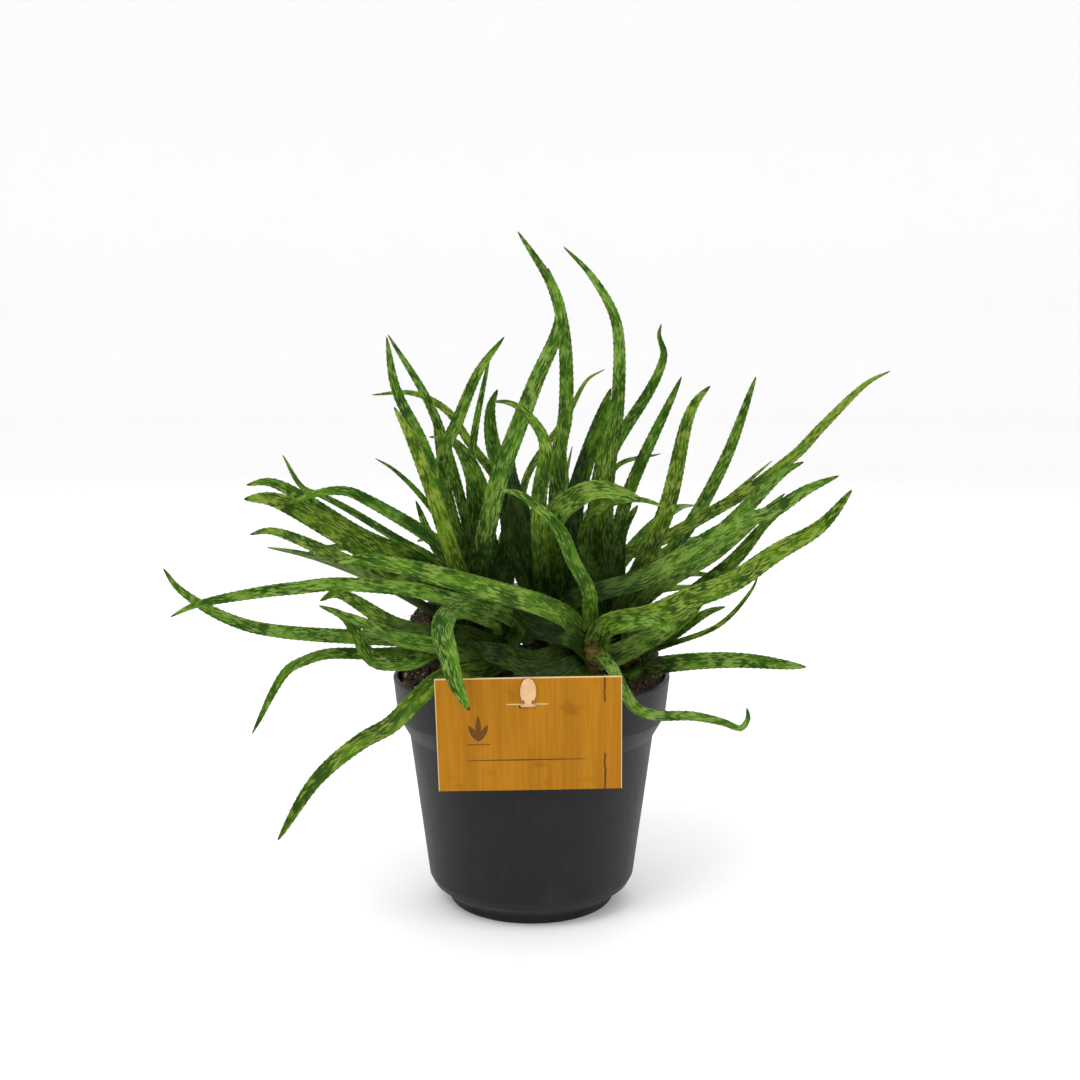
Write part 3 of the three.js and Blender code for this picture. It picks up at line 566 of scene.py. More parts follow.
def pot_inside():
    """The pot's inner wall, from the rim down to the floor."""
    return [
        (RIM_RADIUS - RIM_EDGE - WALL, POT_HEIGHT),
        (COLLAR_FOOT[0] - WALL, COLLAR_FOOT[1]),
        (SHOULDER[0] - WALL, SHOULDER[1]),
        (BODY_FOOT[0] - WALL, BODY_FOOT[1]),
        (FOOT_RADIUS + 0.4, FLOOR_Z + 3.4),
        (FOOT_RADIUS - 2.5, FLOOR_Z),
    ]


def pot_material(s):
    g = Graph("anthracite plastic")
    place = g.place()
    x, y, height = (g.split(place, axis) for axis in "XYZ")
    grain = g.noise(place, 2.2, 3.0)
    patches = g.noise(place, 0.06, 4.0, 0.6)
    drawn = g.stretched(x * 0.5, y * 0.5, height * 0.03, 3.0)
    dust = patches.step(0.5, 0.75) * 0.35 + drawn.step(0.55, 0.7) * 0.15
    dust = dust + (height * -1 + 9).step(0, 9) * grain * 0.35
    colour = g.mix(dust, s.colour, s.dust)
    rough = drawn * 0.16 + (patches * 0.2 + (s.roughness - 0.18))
    return g.finish(colour, rough, grain + patches * 2, bump=0.35, depth=0.12, specular=0.22)


class ALOE_OT_pot(bpy.types.Operator):
    """Spin the pot and drill its drain holes"""

    bl_idname = "aloe.pot"
    bl_label = "Pot"

    def execute(self, context):
        s = context.scene.aloe_pot
        bm = bmesh.new()
        spun(bm, [*pot_under(), *pot_outside(), *pot_inside(), (0, FLOOR_Z)], s.sides)
        pot = add_piece("aloe_pot", bm, [pot_material(s)], "pot", "pot")
        self.drill(pot)
        rounding = pot.modifiers.new("rounded edges", "BEVEL")
        rounding.width = EDGE_ROUNDING * MM
        rounding.segments = 3
        rounding.limit_method = "ANGLE"
        rounding.angle_limit = math.radians(18)
        return {"FINISHED"}

    def drill(self, pot):
        """Cuts the drain holes with a ring of short rods."""
        bm = bmesh.new()
        for i in range(DRAIN_HOLES):
            turn = Matrix.Rotation(i * 2 * math.pi / DRAIN_HOLES, 4, "Z")
            place = turn @ Matrix.Translation((DRAIN_CIRCLE, 0, 0))
            rod = {"segments": 20, "radius1": DRAIN_RADIUS, "radius2": DRAIN_RADIUS, "depth": 4 * FLOOR_Z}
            bmesh.ops.create_cone(bm, cap_ends=True, matrix=place, **rod)
        rods = add_object("drill", bm, smooth=False)
        cut = pot.modifiers.new("holes", "BOOLEAN")
        cut.object = rods
        cut.operation = "DIFFERENCE"
        cut.solver = "EXACT"
        shape = pot.evaluated_get(bpy.context.evaluated_depsgraph_get())
        drilled = bpy.data.meshes.new_from_object(shape)
        pot.modifiers.clear()
        pot.data = drilled
        bpy.data.objects.remove(rods)


def soil_height(x, y):
    """The height of the soil's surface without its crumbs."""
    r = math.hypot(x, y) / (RIM_RADIUS - WALL)
    edge = max(0, 1 - r ** 40)
    heap = 0
    for at_x, at_y, height, spread in SOIL_HEAPS:
        heap += height * math.exp(-((math.hypot(x - at_x, y - at_y) / spread) ** 4))
    clods = 0.9 * math.sin(0.62 * x + 1.3) * math.sin(0.55 * y + 0.4) + 0.5 * math.sin(1.1 * x - 0.9 * y)
    return SOIL_EDGE_Z + SOIL_DOME * (1 - r * r) + heap * edge + clods


def soil_material(s):
    g = Graph("peat")
    place = g.place()
    clods = g.noise(place, 0.35, 5.0, 0.65)
    grain = g.noise(place, 2.6, 3.0, 0.6)
    fibres = g.noise(place, 0.9, 2.0, 0.5, 2.5)
    colour = g.mix(clods.step(0.35, 0.7), s.dark, s.light)
    bits = g.noise(place, 1.1, 2.0)
    colour = g.mix(grain.step(0.62, 0.74) * 0.4, colour, s.pale)
    colour = g.mix(bits.step(0.62, 0.67) * 0.7, colour, s.pale)
    colour = g.mix(fibres.step(0.64, 0.7) * 0.35, colour, s.pale)
    return g.finish(colour, 0.95, clods * 2 + grain, bump=0.9, depth=0.8)


def crumb_material(s):
    g = Graph("crumbs and fibres")
    tone = g.attribute("tone")
    grain = g.noise(g.place(), 1.6, 3.0)
    colour = g.mix(tone.step(0.1, 0.6), s.dark, s.light)
    colour = g.mix(tone.step(0.68, 0.85), colour, s.pale)
    colour = g.mix(grain * 0.3, colour, s.dark)
    return g.finish(colour, 0.92, grain, bump=0.8, depth=0.3)


class ALOE_OT_soil(bpy.types.Operator):
    """Fill the pot with soil and strew it with crumbs and fibres"""

    bl_idname = "aloe.soil"
    bl_label = "Soil"

    def execute(self, context):
        s = context.scene.aloe_soil
        self.lump(s)
        chance = random.Random(7)
        self.crumbs(s, chance)
        self.fibres(s, chance)
        return {"FINISHED"}

    def lump(self, s):
        side = [(r - GAP, z + GAP) for r, z in reversed(pot_inside()[1:])]
        flare = (RIM_RADIUS - RIM_EDGE - COLLAR_FOOT[0]) / (POT_HEIGHT - COLLAR_FOOT[1])
        top = COLLAR_FOOT[0] - WALL - GAP + flare * (SOIL_EDGE_Z - 2 - COLLAR_FOOT[1])
        rings, sides = 44, 120
        surface = [(top * (1 - (i / rings)), SOIL_EDGE_Z) for i in range(rings)]
        bm = bmesh.new()
        spun(bm, [(0, FLOOR_Z + GAP), *side, (top, SOIL_EDGE_Z - 2), *surface, (0, SOIL_EDGE_Z)], sides)
        for vert in bm.verts:
            if vert.co.z > SOIL_EDGE_Z - 1:
                x, y, _ = vert.co
                rough = noise.fractal(Vector((x, y, 3)) * 0.16, 0.8, 2.1, 5)
                vert.co.z = soil_height(x, y) + 1.3 * rough
        add_piece("aloe_soil", bm, [soil_material(s)], "soil", "soil")

    def spot(self, chance):
        """A random place on the soil, as likely as any other."""
        turn = chance.uniform(0, 2 * math.pi)
        r = CRUMB_REACH * math.sqrt(chance.random())
        x, y = r * math.cos(turn), r * math.sin(turn)
        return Vector((x, y, soil_height(x, y)))

    def crumbs(self, s, chance):
        bm = bmesh.new()
        tone = bm.verts.layers.float.new("tone")
        squash = Matrix.Diagonal((1, 0.75, 0.6, 1))
        for _ in range(s.crumbs):
            size = 0.35 + 1.3 * chance.random() ** 3
            made = bmesh.ops.create_icosphere(bm, subdivisions=1, radius=size)["verts"]
            shade = chance.random()
            for vert in made:
                vert[tone] = shade
                vert.co *= 1 + 0.35 * noise.noise(vert.co * 2.1 + Vector((shade * 90, 0, 0)))
            tilt = Euler([chance.uniform(0, 6.28) for _ in range(3)]).to_matrix().to_4x4()
            place = Matrix.Translation(self.spot(chance) + Vector((0, 0, 0.3 * size)))
            bmesh.ops.transform(bm, matrix=place @ tilt @ squash, verts=made)
        add_piece("aloe_soil_crumbs", bm, [crumb_material(s)], "soil")

    def fibres(self, s, chance):
        bm = bmesh.new()
        tone = bm.verts.layers.float.new("tone")
        rows = 6
        for _ in range(s.fibres):
            start = self.spot(chance)
            turn = chance.uniform(0, 2 * math.pi)
            length = chance.uniform(3, 11)
            run = Vector((math.cos(turn), math.sin(turn), chance.uniform(-0.15, 0.5))) * length
            swerve = Vector((chance.uniform(-2, 2), chance.uniform(-2, 2), chance.uniform(0, 1.6)))
            thick = chance.uniform(0.12, 0.32)
            shade = chance.uniform(0.35, 1)

            def place(vert, row, side):
                share = row / rows
                middle = start + run * share + swerve * 4 * share * (1 - share)
                off = math.hypot(middle.x, middle.y)
                if off > FIBRE_REACH:
                    middle *= FIBRE_REACH / off
                    middle.z = soil_height(middle.x, middle.y) + 0.3
                angle = side * 2 * math.pi / 3
                girth = thick * (0 if row in (0, rows) else 1)
                aside = Vector((math.sin(turn), -math.cos(turn), 0)) * math.cos(angle)
                vert[tone] = shade
                return middle + girth * (aside + Vector((0, 0, math.sin(angle))))

            skin(bm, rows, 3, place)
        add_piece("aloe_soil_fibres", bm, [crumb_material(s)], "soil")


class Draw:
    """The same seeded draws from 0 to 1 as the frame was built with."""

    def __init__(self):
        self.seed = 20417

    def __call__(self):
        self.seed = (self.seed * 1664525 + 1013904223) % 4294967296
        return self.seed / 4294967296


def seen(across, up, depth):
    """The place in space of a point on the picture, at a depth behind the pot's axis."""
    slope = up / VIEW_DISTANCE
    reach = (VIEW_DISTANCE + depth) / (math.cos(VIEW_TILT) * (1 + slope * math.tan(VIEW_TILT)))
    rise = slope * math.cos(VIEW_TILT) - math.sin(VIEW_TILT)
    return Vector((across / VIEW_DISTANCE * reach, depth, VIEW_HEIGHT + rise * reach))


def laid_out_path(leaf):
    """The midrib of a laid-out leaf, from inside its stem to the tip.

    Its depth runs evenly from each fixed depth to the next, and the bow is added to that.
    """
    crown = CROWNS[leaf["crown"]]
    points = leaf["points"]
    first = seen(points[0][0], points[0][1], points[0][2] if len(points[0]) > 2 else crown.y)
    slope = (first.z - crown.z) / max(1, (first - crown).length)
    root = Vector((crown.x, crown.y, crown.z - ROOT_DROP + ROOT_DROP * slope))
    runs = [math.hypot(first.x - root.x, first.z - root.z)]
    for last, point in zip(points, points[1:]):
        runs.append(runs[-1] + math.hypot(point[0] - last[0], point[1] - last[1]))
    fixed = [(0, crown.y)]
    fixed += [(run / runs[-1], point[2]) for run, point in zip(runs, points) if len(point) > 2]
    if fixed[-1][0] < 1:
        fixed.append((1, leaf["tip"]))
    path = [root]
    for run, point in zip(runs, points):
        share = run / runs[-1]
        k = max(1, next(i for i, mark in enumerate(fixed) if mark[0] >= share))
        part = (share - fixed[k - 1][0]) / (fixed[k][0] - fixed[k - 1][0])
        even = fixed[k - 1][1] + part * (fixed[k][1] - fixed[k - 1][1])
        path.append(seen(point[0], point[1], even + leaf["bow"] * 4 * share * (1 - share)))
    return path


def fan_path(leaf):
    """The midrib of a leaf in a fan, which rises and arches over."""
    crown = CROWNS[leaf["crown"]]
    bearing = math.radians(leaf["bearing"])
    rise = math.radians(leaf["rise"])
    path = []
    for i in range(FAN_POINTS + 1):
        share = i / FAN_POINTS
        out = leaf["length"] * share * math.cos(rise) * (1 - 0.12 * share)
        up = leaf["length"] * (share * math.sin(rise) - leaf["droop"] * share * share)
        sway = leaf["sway"] * share * share
        x = out * math.cos(bearing) - sway * math.sin(bearing)
        y = out * math.sin(bearing) + sway * math.cos(bearing)
        path.append(crown + Vector((x, y, up - ROOT_DROP / 2)))
    return path


def smooth(path, steps=24):
    """Points on a smooth curve through a path, a centripetal Catmull-Rom spline."""
    ends = [2 * path[0] - path[1], *path, 2 * path[-1] - path[-2]]
    points = []
    for a, b, c, d in zip(ends, ends[1:], ends[2:], ends[3:]):
        first, middle, last = (math.sqrt((q - p).length) for p, q in ((a, b), (b, c), (c, d)))
        lead = ((b - a) / first - (c - a) / (first + middle)) * middle + (c - b)
        trail = ((d - c) / last - (d - b) / (middle + last)) * middle + (c - b)
        for k in range(steps):
            t = k / steps
            curve = (3 * (c - b) - 2 * lead - trail) * t * t + (2 * (b - c) + lead + trail) * t ** 3
            points.append(b + lead * t + curve)
    return [*points, path[-1].copy()]


def walk(path, steps):
    """Points at equal steps along a path, and its length."""
    runs = [0]
    for last, point in zip(path, path[1:]):
        runs.append(runs[-1] + (point - last).length)
    points = []
    at = 1
    for k in range(steps + 1):
        goal = runs[-1] * k / steps
        while at < len(path) - 1 and runs[at] < goal:
            at += 1
        share = (goal - runs[at - 1]) / (runs[at] - runs[at - 1])
        points.append(path[at - 1].lerp(path[at], min(1, max(0, share))))
    return points, runs[-1]


def half_width(leaf, share):
    """A blade's half width at a share of its length."""
    taper = (1 - 0.3 * share ** 1.5) * (1 - share ** 6) ** 0.6
    return 0.5 * leaf["width"] * max(0.06, taper)


def spine(leaf, pitch):
    """Stations at equal steps along a leaf."""
    path = smooth(fan_path(leaf) if leaf["fan"] else laid_out_path(leaf))
    steps = max(LEAST_RINGS, round(walk(path, 1)[1] / pitch))
    points, length = walk(path, steps)
    crown = CROWNS[leaf["crown"]]
    face = LAID_FACE
    if leaf["fan"]:
        face = Vector((crown.x - points[-1].x, crown.y - points[-1].y, 0)).normalized()
        face.z = FAN_FACE_UP
    stations = []
    for i, place in enumerate(points):
        share = i / steps
        along = (points[min(steps, i + 1)] - points[max(0, i - 1)]).normalized()
        across = along.cross(face).normalized()
        across.rotate(Matrix.Rotation(math.radians(leaf["roll"] + leaf["twist"] * share), 3, along))
        half = half_width(leaf, share)
        thick = half * THICKNESS * (1 + 0.5 * share)
        out = across.cross(along)
        stations.append(Station(place, along, across, out, half, thick, share, length * share))
    return stations


def lay_out(table, draw, gloom):
    """The leaves of a table, with their small turns about their own midribs."""
    leaves = []
    for crown, rows in table.items():
        for width, tip, bow, *points in rows:
            leaf = {"crown": crown, "fan": False, "width": width, "tip": tip, "bow": bow, "points": points}
            leaf["roll"] = LAID_TURN * (draw() - 0.5)
            leaf["twist"] = LAID_TURN * (draw() - 0.5)
            # how much shade is painted on the leaf
            leaf["gloom"] = gloom
            leaves.append(leaf)
    return leaves


def list_leaves():
    """Every leaf."""
    draw = Draw()
    leaves = lay_out(LAID_OUT, draw, 0)
    for fan in FANS:
        for i, (turn, lift) in enumerate(fan.bends):
            share = (i + 0.5) / len(fan.bends)
            leaf = {"crown": fan.crown, "fan": True}
            leaf["bearing"] = fan.start + (fan.stop - fan.start) * share + FAN_STRAY * (draw() - 0.5) + turn
            leaf["rise"] = fan.habit.lowest + fan.habit.spread * ((GOLDEN * i + 0.2 * draw()) % 1) + lift
            leaf["length"] = fan.length * (0.72 + 0.42 * draw())
            leaf["droop"] = 0.16 + 0.34 * draw()
            leaf["sway"] = fan.habit.sway * (draw() - 0.5)
            leaf["width"] = fan.habit.width + FAN_WIDER * draw()
            leaf["roll"] = FAN_TURN * (draw() - 0.5)
            leaf["twist"] = FAN_TURN * (draw() - 0.5)
            # how much shade is painted on the leaf
            leaf["gloom"] = fan.habit.gloom
            leaves.append(leaf)
    return leaves + lay_out(UNDERGROWTH, draw, 1)


def clump_shade_mask(g):
    """How much shade is painted on a place: rises from 0 outside the clump of leaves to 1 in its middle."""
    place = g.place()
    sides = zip("XYZ", CLUMP_MIDDLE, CLUMP_REACH)
    away = sum(((g.split(place, axis) - middle) / reach) ** 2 for axis, middle, reach in sides)
    return 1 - away.step(0.2, 1.1)


def leaf_material(s):
    g = Graph("mottled leaf")
    across, reach, seed = g.attribute("across"), g.attribute("reach"), g.attribute("seed")
    share, margin, top = g.attribute("share"), g.attribute("margin"), g.attribute("top")
    where = seed * 61 + top * 7
    gloom = g.attribute("gloom")
    streaks = g.stretched(across * 3.4, reach * 0.28, where, 3.0, 0.6)
    blotch = g.stretched(across * 0.24, reach * 0.07, where + 17, 3.0, 0.55)
    band = g.stretched(across * 0.1, reach * 0.14, where + 9, 1.0)
    fleck = g.stretched(across * 1.45, reach * 0.3, where + 31, 1.5, 0.5)
    ground = (blotch + (streaks - 0.5) * 0.5).step(0.36, 0.66)
    green = g.mix(ground, s.dark, s.middle)
    plain = (seed * 7.3).math("FRACT")
    light = (fleck + (band - 0.5) * 0.6 + (streaks - 0.5) * 0.2 - (plain - 0.4) * 0.12).step(0.44, 0.69)
    green = g.mix(light * 0.7, green, s.light)
    pale = (blotch - (band - 0.5) * 0.6 + (streaks - 0.5) * 0.2).step(0.6, 0.74)
    green = g.mix(pale * 0.4, green, s.light)
    warm = g.mix(1.0, green, WARM_LEAF, "MULTIPLY")
    green = g.mix(seed.step(0.5, 1.0) * 0.6, green, warm)
    base = (share * -1 + 0.14).step(0, 0.14)
    green = g.mix(base * 0.3, green, s.tooth)
    green = g.mix(margin.step(0.95, 1.0) * 0.45, green, s.tooth)
    dry = (share + streaks * 0.012).step(0.985, 0.999)
    green = g.mix(dry, green, s.tip)
    # Painted shade: the leaves darker towards the middle of the clump, and on leaves marked for it.
    shaded = g.mix(1.0, green, SHADED_LEAF, "MULTIPLY")
    green = g.mix(clump_shade_mask(g).most(gloom) * s.shade, green, shaded)
    rough = streaks * 0.2 + 0.38
    return g.finish(green, rough, streaks + light * 0.5, bump=0.35, depth=0.22, specular=0.1)


def stem_material(s):
    g = Graph("short stem")
    place = g.place()
    x, y, z = (g.split(place, axis) for axis in "XYZ")
    rings = g.stretched(x * 0.15, y * 0.15, z * 1.1, 3.0)
    colour = g.mix(rings.step(0.35, 0.65), s.stem, s.stem * 0.35)
    # Painted shade: the stems darker towards the middle of the clump.
    shaded = g.mix(1.0, colour, SHADED_STEM, "MULTIPLY")
    colour = g.mix(clump_shade_mask(g) * s.shade, colour, shaded)
    return g.finish(colour, 0.75, rings, bump=0.8, depth=0.6, specular=0.2)


class ALOE_OT_shoots(bpy.types.Operator):
    """Grow every shoot, blade by blade"""

    bl_idname = "aloe.shoots"
    bl_label = "Shoots"

    def execute(self, context):
        s = context.scene.aloe_leaves
        materials = [leaf_material(s), stem_material(s)]
        leaves = list_leaves()
        for number, leaf in enumerate(leaves):
            leaf["seed"] = (number * GOLDEN) % 1
        for name, crown in CROWNS.items():
            bm = bmesh.new()
            marks = {mark: bm.verts.layers.float.new(mark) for mark in MARKS}
            self.stem(bm, crown, s)
            for leaf in leaves:
                if leaf["crown"] == name:
                    self.blade(bm, leaf, marks, s)
            add_piece(f"aloe_shoot_{name}", bm, materials, "leaf", f"shoot_{name}")
        return {"FINISHED"}

    def stem(self, bm, crown, s):
        foot = soil_height(crown.x, crown.y) - STEM_SUNK
        lowest = foot + STEM_SUNK * 0.7
        profile = [(0, foot), (STEM_RADIUS * 0.8, foot)]
        for i in range(STEM_RINGS + 1):
            z = lowest + (crown.z - 4 - lowest) * i / STEM_RINGS
            profile.append((STEM_RADIUS * (1 if i % 2 else 0.9), z))
        profile += [(STEM_RADIUS * 0.55, crown.z + 2.5), (0, crown.z + 3)]
        spun(bm, profile, 18)
        spread = SCALE_SPREAD_FRONT if crown.y < FRONT_ROW else SCALE_SPREAD
        for k in range(s.scales):
            start = crown.z - SCALE_DROP + SCALE_CLIMB * k / s.scales
            self.scale(bm, start, k * GOLDEN * 2 * math.pi, spread)
        bmesh.ops.translate(bm, vec=(crown.x, crown.y, 0), verts=bm.verts)
        for face in bm.faces:
            face.material_index = 1

    def scale(self, bm, foot, turn, spread):
        """The dry foot of an old leaf, clasping the stem."""
        rows, sides = 7, 10

        def place(vert, row, side):
            share = row / rows
            angle = 2 * math.pi * side / sides
            half = SCALE_HALF * math.sin(math.pi * share ** 0.6) ** 0.7
            proud = SCALE_THICK * math.sin(angle) * (0 < row < rows)
            off = STEM_RADIUS * 0.86 + spread * share ** 1.5 + proud
            bend = turn + half * math.cos(angle) / (STEM_RADIUS + 1)
            return Vector((off * math.cos(bend), off * math.sin(bend), foot + SCALE_LENGTH * share))

        skin(bm, rows, sides, place)

    def blade(self, bm, leaf, marks, s):
        stations = spine(leaf, s.station)
        last = len(stations) - 1

        def place(vert, row, side):
            at = stations[row]
            across = math.cos(2 * math.pi * side / BLADE_SIDES)
            is_top = side <= BLADE_SIDES // 2
            foot = max(0, 1 - at.reach / s.clasp) ** 2
            half = at.half * (1 + s.flare * foot)
            if row in (0, last):
                half = 0
            is_edge = abs(across) > 0.99
            tooth = 0
            if is_edge and 2 < row < last - 2 and row % s.tooth_every == 0:
                tooth = s.tooth_height * min(1, half / 2)
            if is_top:
                over = EDGE_RISE - s.channel * (1 - across * across)
            else:
                over = EDGE_RISE - (EDGE_RISE + KEEL_DROP) * (1 - abs(across) ** 2.4)
            over = (over * at.thick + foot * half * (abs(across) ** 2 * 1.1 - 0.3)) * (half > 0)
            vert[marks["across"]] = across * half
            vert[marks["reach"]] = at.reach
            vert[marks["seed"]] = leaf["seed"]
            # how much shade is painted on the blade
            vert[marks["gloom"]] = leaf["gloom"]
            vert[marks["share"]] = at.share
            vert[marks["margin"]] = across * across
            vert[marks["top"]] = 1.0 if is_top else 0.0
            out = across * half + math.copysign(tooth, across)
            return at.place + at.across * out + at.out * over + at.along * tooth * 0.6

        for face in skin(bm, last, BLADE_SIDES, place):
            face.material_index = 0


def card_place():
    """The card's place: its origin is the middle of the card, with +Y through it and +Z up along it."""
    lean = Matrix.Rotation(math.radians(CARD_LEAN), 4, "X")
    roll = Matrix.Rotation(math.radians(CARD_ROLL), 4, "Y")
    return Matrix.Translation(CARD_PLACE) @ lean @ roll


def card_material(s):
    g = Graph("printed wood grain")
    x, z = g.attribute("card_x"), g.attribute("card_z")
    boards = g.stretched(x * 0.1, z * 0.006, 0.0, 2.0)
    grain = g.stretched(x * 0.8, z * 0.03, 0.0, 4.0, 0.6, 0.4)
    fine = g.stretched(x * 3.2, z * 0.12, 0.0, 2.0)
    smudge = g.stretched(x * 0.09, z * 0.13, 7, 3.0)
    colour = g.mix(grain.step(0.3, 0.72) * 0.5 + boards.step(0.35, 0.65) * 0.4, s.ground, s.grain)
    colour = g.mix(fine.step(0.5, 0.8) * 0.25, colour, s.ground * 1.25)
    colour = g.mix(smudge.step(0.58, 0.75) * 0.4, colour, s.grain * 0.6)
    wander = (g.stretched(0.3, z * 0.16, 0.0, 3.0) - 0.5) * 1.4
    crack = 1 - abs(x + wander - CRACK["x"]).step(0.2, 0.65)
    crack = crack * abs(z - CRACK["clear"]).step(10, 12) * fine.step(0.25, 0.5)
    thin = abs(x - RULE["x"]).step(0, RULE["half"])
    off_rule = abs(z - RULE["z"]) + thin * 0.14 + (grain - 0.5) * 0.1
    rule = (1 - off_rule.step(0.2, 0.4)) * (1 - thin.step(0.9, 1.0))
    ink = (crack * 0.9).most(rule * 0.9).most(tuft(g, x, z) * 0.8)
    colour = g.mix(ink, colour, s.ink)
    sides = (abs(x) - (CARD_SIZE[0] / 2 - 0.4)).step(0, 0.2)
    top = (z - (CARD_SIZE[1] / 2 - 0.45)).step(0, 0.2)
    cut = 1 - abs(z - SLIT_ABOVE - 1.1).step(0.12, 0.3)
    cut = cut * (1 - abs(x - STAKE_X + CARD_PLACE[0]).step(7, 9))
    colour = g.mix(sides.most(top).most(cut) * 0.75, colour, s.edge)
    return g.finish(colour, 0.45 + grain * 0.15, fine + grain, bump=0.15, depth=0.1, specular=0.12)


def tuft(g, x, z):
    """A plain tuft of three pointed blades over a short line, as a mask."""
    mask = (1 - abs(z - MOTIF[1] + 1).step(0.15, 0.3)) * (1 - abs(x - MOTIF[0]).step(4.5, 5))
    for lean in (-27, 0, 27):
        angle = math.radians(lean)
        along = (x - MOTIF[0]) * math.sin(angle) + (z - MOTIF[1]) * math.cos(angle)
        aside = (x - MOTIF[0]) * math.cos(angle) - (z - MOTIF[1]) * math.sin(angle)
        half = MOTIF_LEAF[0] * (1 - abs(lean) / 100) / 2
        shape = (along / half - 1) ** 2 + abs(aside) * (2 / MOTIF_LEAF[1])
        mask = (1 - shape.step(0.8, 1.0)).most(mask)
    return mask


def stake_material(s):
    g = Graph("ivory plastic")
    place = g.place()
    aside, left = g.attribute("aside"), g.attribute("left")
    haze = g.noise(place, 0.4, 3.0)
    grain = g.noise(place, 2.4, 2.0)
    colour = g.mix((haze + (grain - 0.5) * 0.5).step(0.3, 0.7) * 0.45, s.plastic, s.plastic * 0.72)
    # Painted highlight: the stake lighter along its rims.
    rim = abs(aside).step(0.78, 0.98)
    colour = g.mix(rim * 0.4, colour, STAKE_RIM_HIGHLIGHT)
    # Painted shade: the notches at the neck painted dark, in the ink colour.
    notch_shade = ((abs(aside) - 0.62) / 0.3) ** 2 + ((left - NECK) / 1.15) ** 2
    colour = g.mix((1 - notch_shade.step(0.5, 1.2)) * 0.85, colour, s.ink)
    return g.finish(colour, grain * 0.15 + 0.3, grain + haze, bump=0.3, depth=0.2, specular=0.35)


class ALOE_OT_label(bpy.types.Operator):
    """Cut the card and thread the stake through it"""

    bl_idname = "aloe.label"
    bl_label = "Card and stake"

    def execute(self, context):
        s = context.scene.aloe_label
        self.card(s)
        self.stake(s)
        return {"FINISHED"}

    def card(self, s):
        width, height, thick = CARD_SIZE
        bm = bmesh.new()
        marks = [bm.verts.layers.float.new(mark) for mark in ("card_x", "card_z")]
        bmesh.ops.create_grid(bm, x_segments=24, y_segments=15, size=0.5)
        bmesh.ops.transform(bm, matrix=Matrix.Diagonal((width, height, 1, 1)), verts=bm.verts)
        middle = STAKE_X - CARD_PLACE[0]
        left, right = middle - CUT_SIZE[0] / 2, middle + CUT_SIZE[0] / 2
        low, high = SLIT_ABOVE - CUT_SIZE[1] / 2, SLIT_ABOVE + CUT_SIZE[1] / 2
        cuts = [((x, 0, 0), (1, 0, 0)) for x in (left, right)]
        cuts += [((0, y, 0), (0, 1, 0)) for y in (low, high)]
        for spot, normal in cuts:
            geom = [*bm.verts, *bm.edges, *bm.faces]
            bmesh.ops.bisect_plane(bm, geom=geom, dist=1e-4, plane_co=spot, plane_no=normal)
        inside = []
        for face in bm.faces:
            x, y, _ = face.calc_center_median()
            if left < x < right and low < y < high:
                inside.append(face)
        bmesh.ops.delete(bm, geom=inside, context="FACES")
        for vert in bm.verts:
            x, y, _ = vert.co
            vert[marks[0]] = x
            vert[marks[1]] = y
            vert.co = (x, CARD_WARP * math.cos(x * 0.07) * (y / height) - 0.5 * thick, y)
        bmesh.ops.recalc_face_normals(bm, faces=bm.faces)
        if bm.faces[0].normal.y > 0:
            bmesh.ops.reverse_faces(bm, faces=bm.faces)
        bmesh.ops.solidify(bm, geom=bm.faces, thickness=thick * SHEET)
        bmesh.ops.transform(bm, matrix=card_place(), verts=bm.verts)
        add_piece("aloe_label_card", bm, [card_material(s)], "card", "label_card", smooth=False)

    def line(self):
        """The stake's middle line, from its foot in the soil, out through the slit, to its tip."""
        onto = card_place()

        def on_card(off, above):
            return onto @ Vector((STAKE_X - CARD_PLACE[0], off, above))

        slit = on_card(0, SLIT_ABOVE)
        points = [
            (-STAKE_INSIDE + 8, STAKE_FOOT),
            (-STAKE_INSIDE + 5, SHOULDER[1] - 9),
            (-STAKE_INSIDE + 0.6, COLLAR_FOOT[1] + 1),
            (-STAKE_INSIDE, POT_HEIGHT - 6),
            (-STAKE_INSIDE - 1.4, slit.z + 0.2),
            (-STAKE_INSIDE - 3.4, slit.z + 0.9),
            (slit.y + 1.6, slit.z + 0.3),
            (slit.y, slit.z),
            (slit.y - 1.2, slit.z + 0.9),
            on_card(-1.3, SLIT_ABOVE + 3).yz,
            on_card(-1.2, CARD_SIZE[1] / 2 + 0.2).yz,
        ]
        return [Vector((STAKE_X, y, z)) for y, z in points]

    def stake(self, s):
        rows, sides = 90, 12
        points, length = walk(smooth(self.line()), rows)
        bm = bmesh.new()
        marks = [bm.verts.layers.float.new(mark) for mark in ("aside", "left")]

        def place(vert, row, side):
            along = (points[min(rows, row + 1)] - points[max(0, row - 1)]).normalized()
            out = Vector((1, 0, 0)).cross(along)
            left = (1 - row / rows) * length
            tongue = min(1, left / TONGUE)
            wide = STAKE_WIDTH / 2 * math.sqrt(max(0, 1 - (1 - tongue) ** 2))
            wide *= 1 - 0.24 * math.exp(-((left - NECK) / 1.8) ** 2)
            if row == 0:
                wide = 0
            angle = 2 * math.pi * side / sides
            vert[marks[0]] = math.cos(angle)
            vert[marks[1]] = left
            thick = STAKE_THICK / 2 * (wide > 0.01)
            x = math.copysign(abs(math.cos(angle)) ** 0.35, math.cos(angle)) * wide
            z = math.copysign(abs(math.sin(angle)) ** 0.6, math.sin(angle)) * thick
            return points[row] + Vector((x, 0, 0)) + out * z

        skin(bm, rows, sides, place)
        add_piece("aloe_label_stake", bm, [stake_material(s)], "stake", "label_stake")


def floor_material(s):
    g = Graph("pale floor")
    haze = g.noise(g.place(), 0.004, 2.0)
    colour = g.mix(haze * 0.1, s.floor, s.floor * 0.97)
    return g.finish(colour, 0.8)


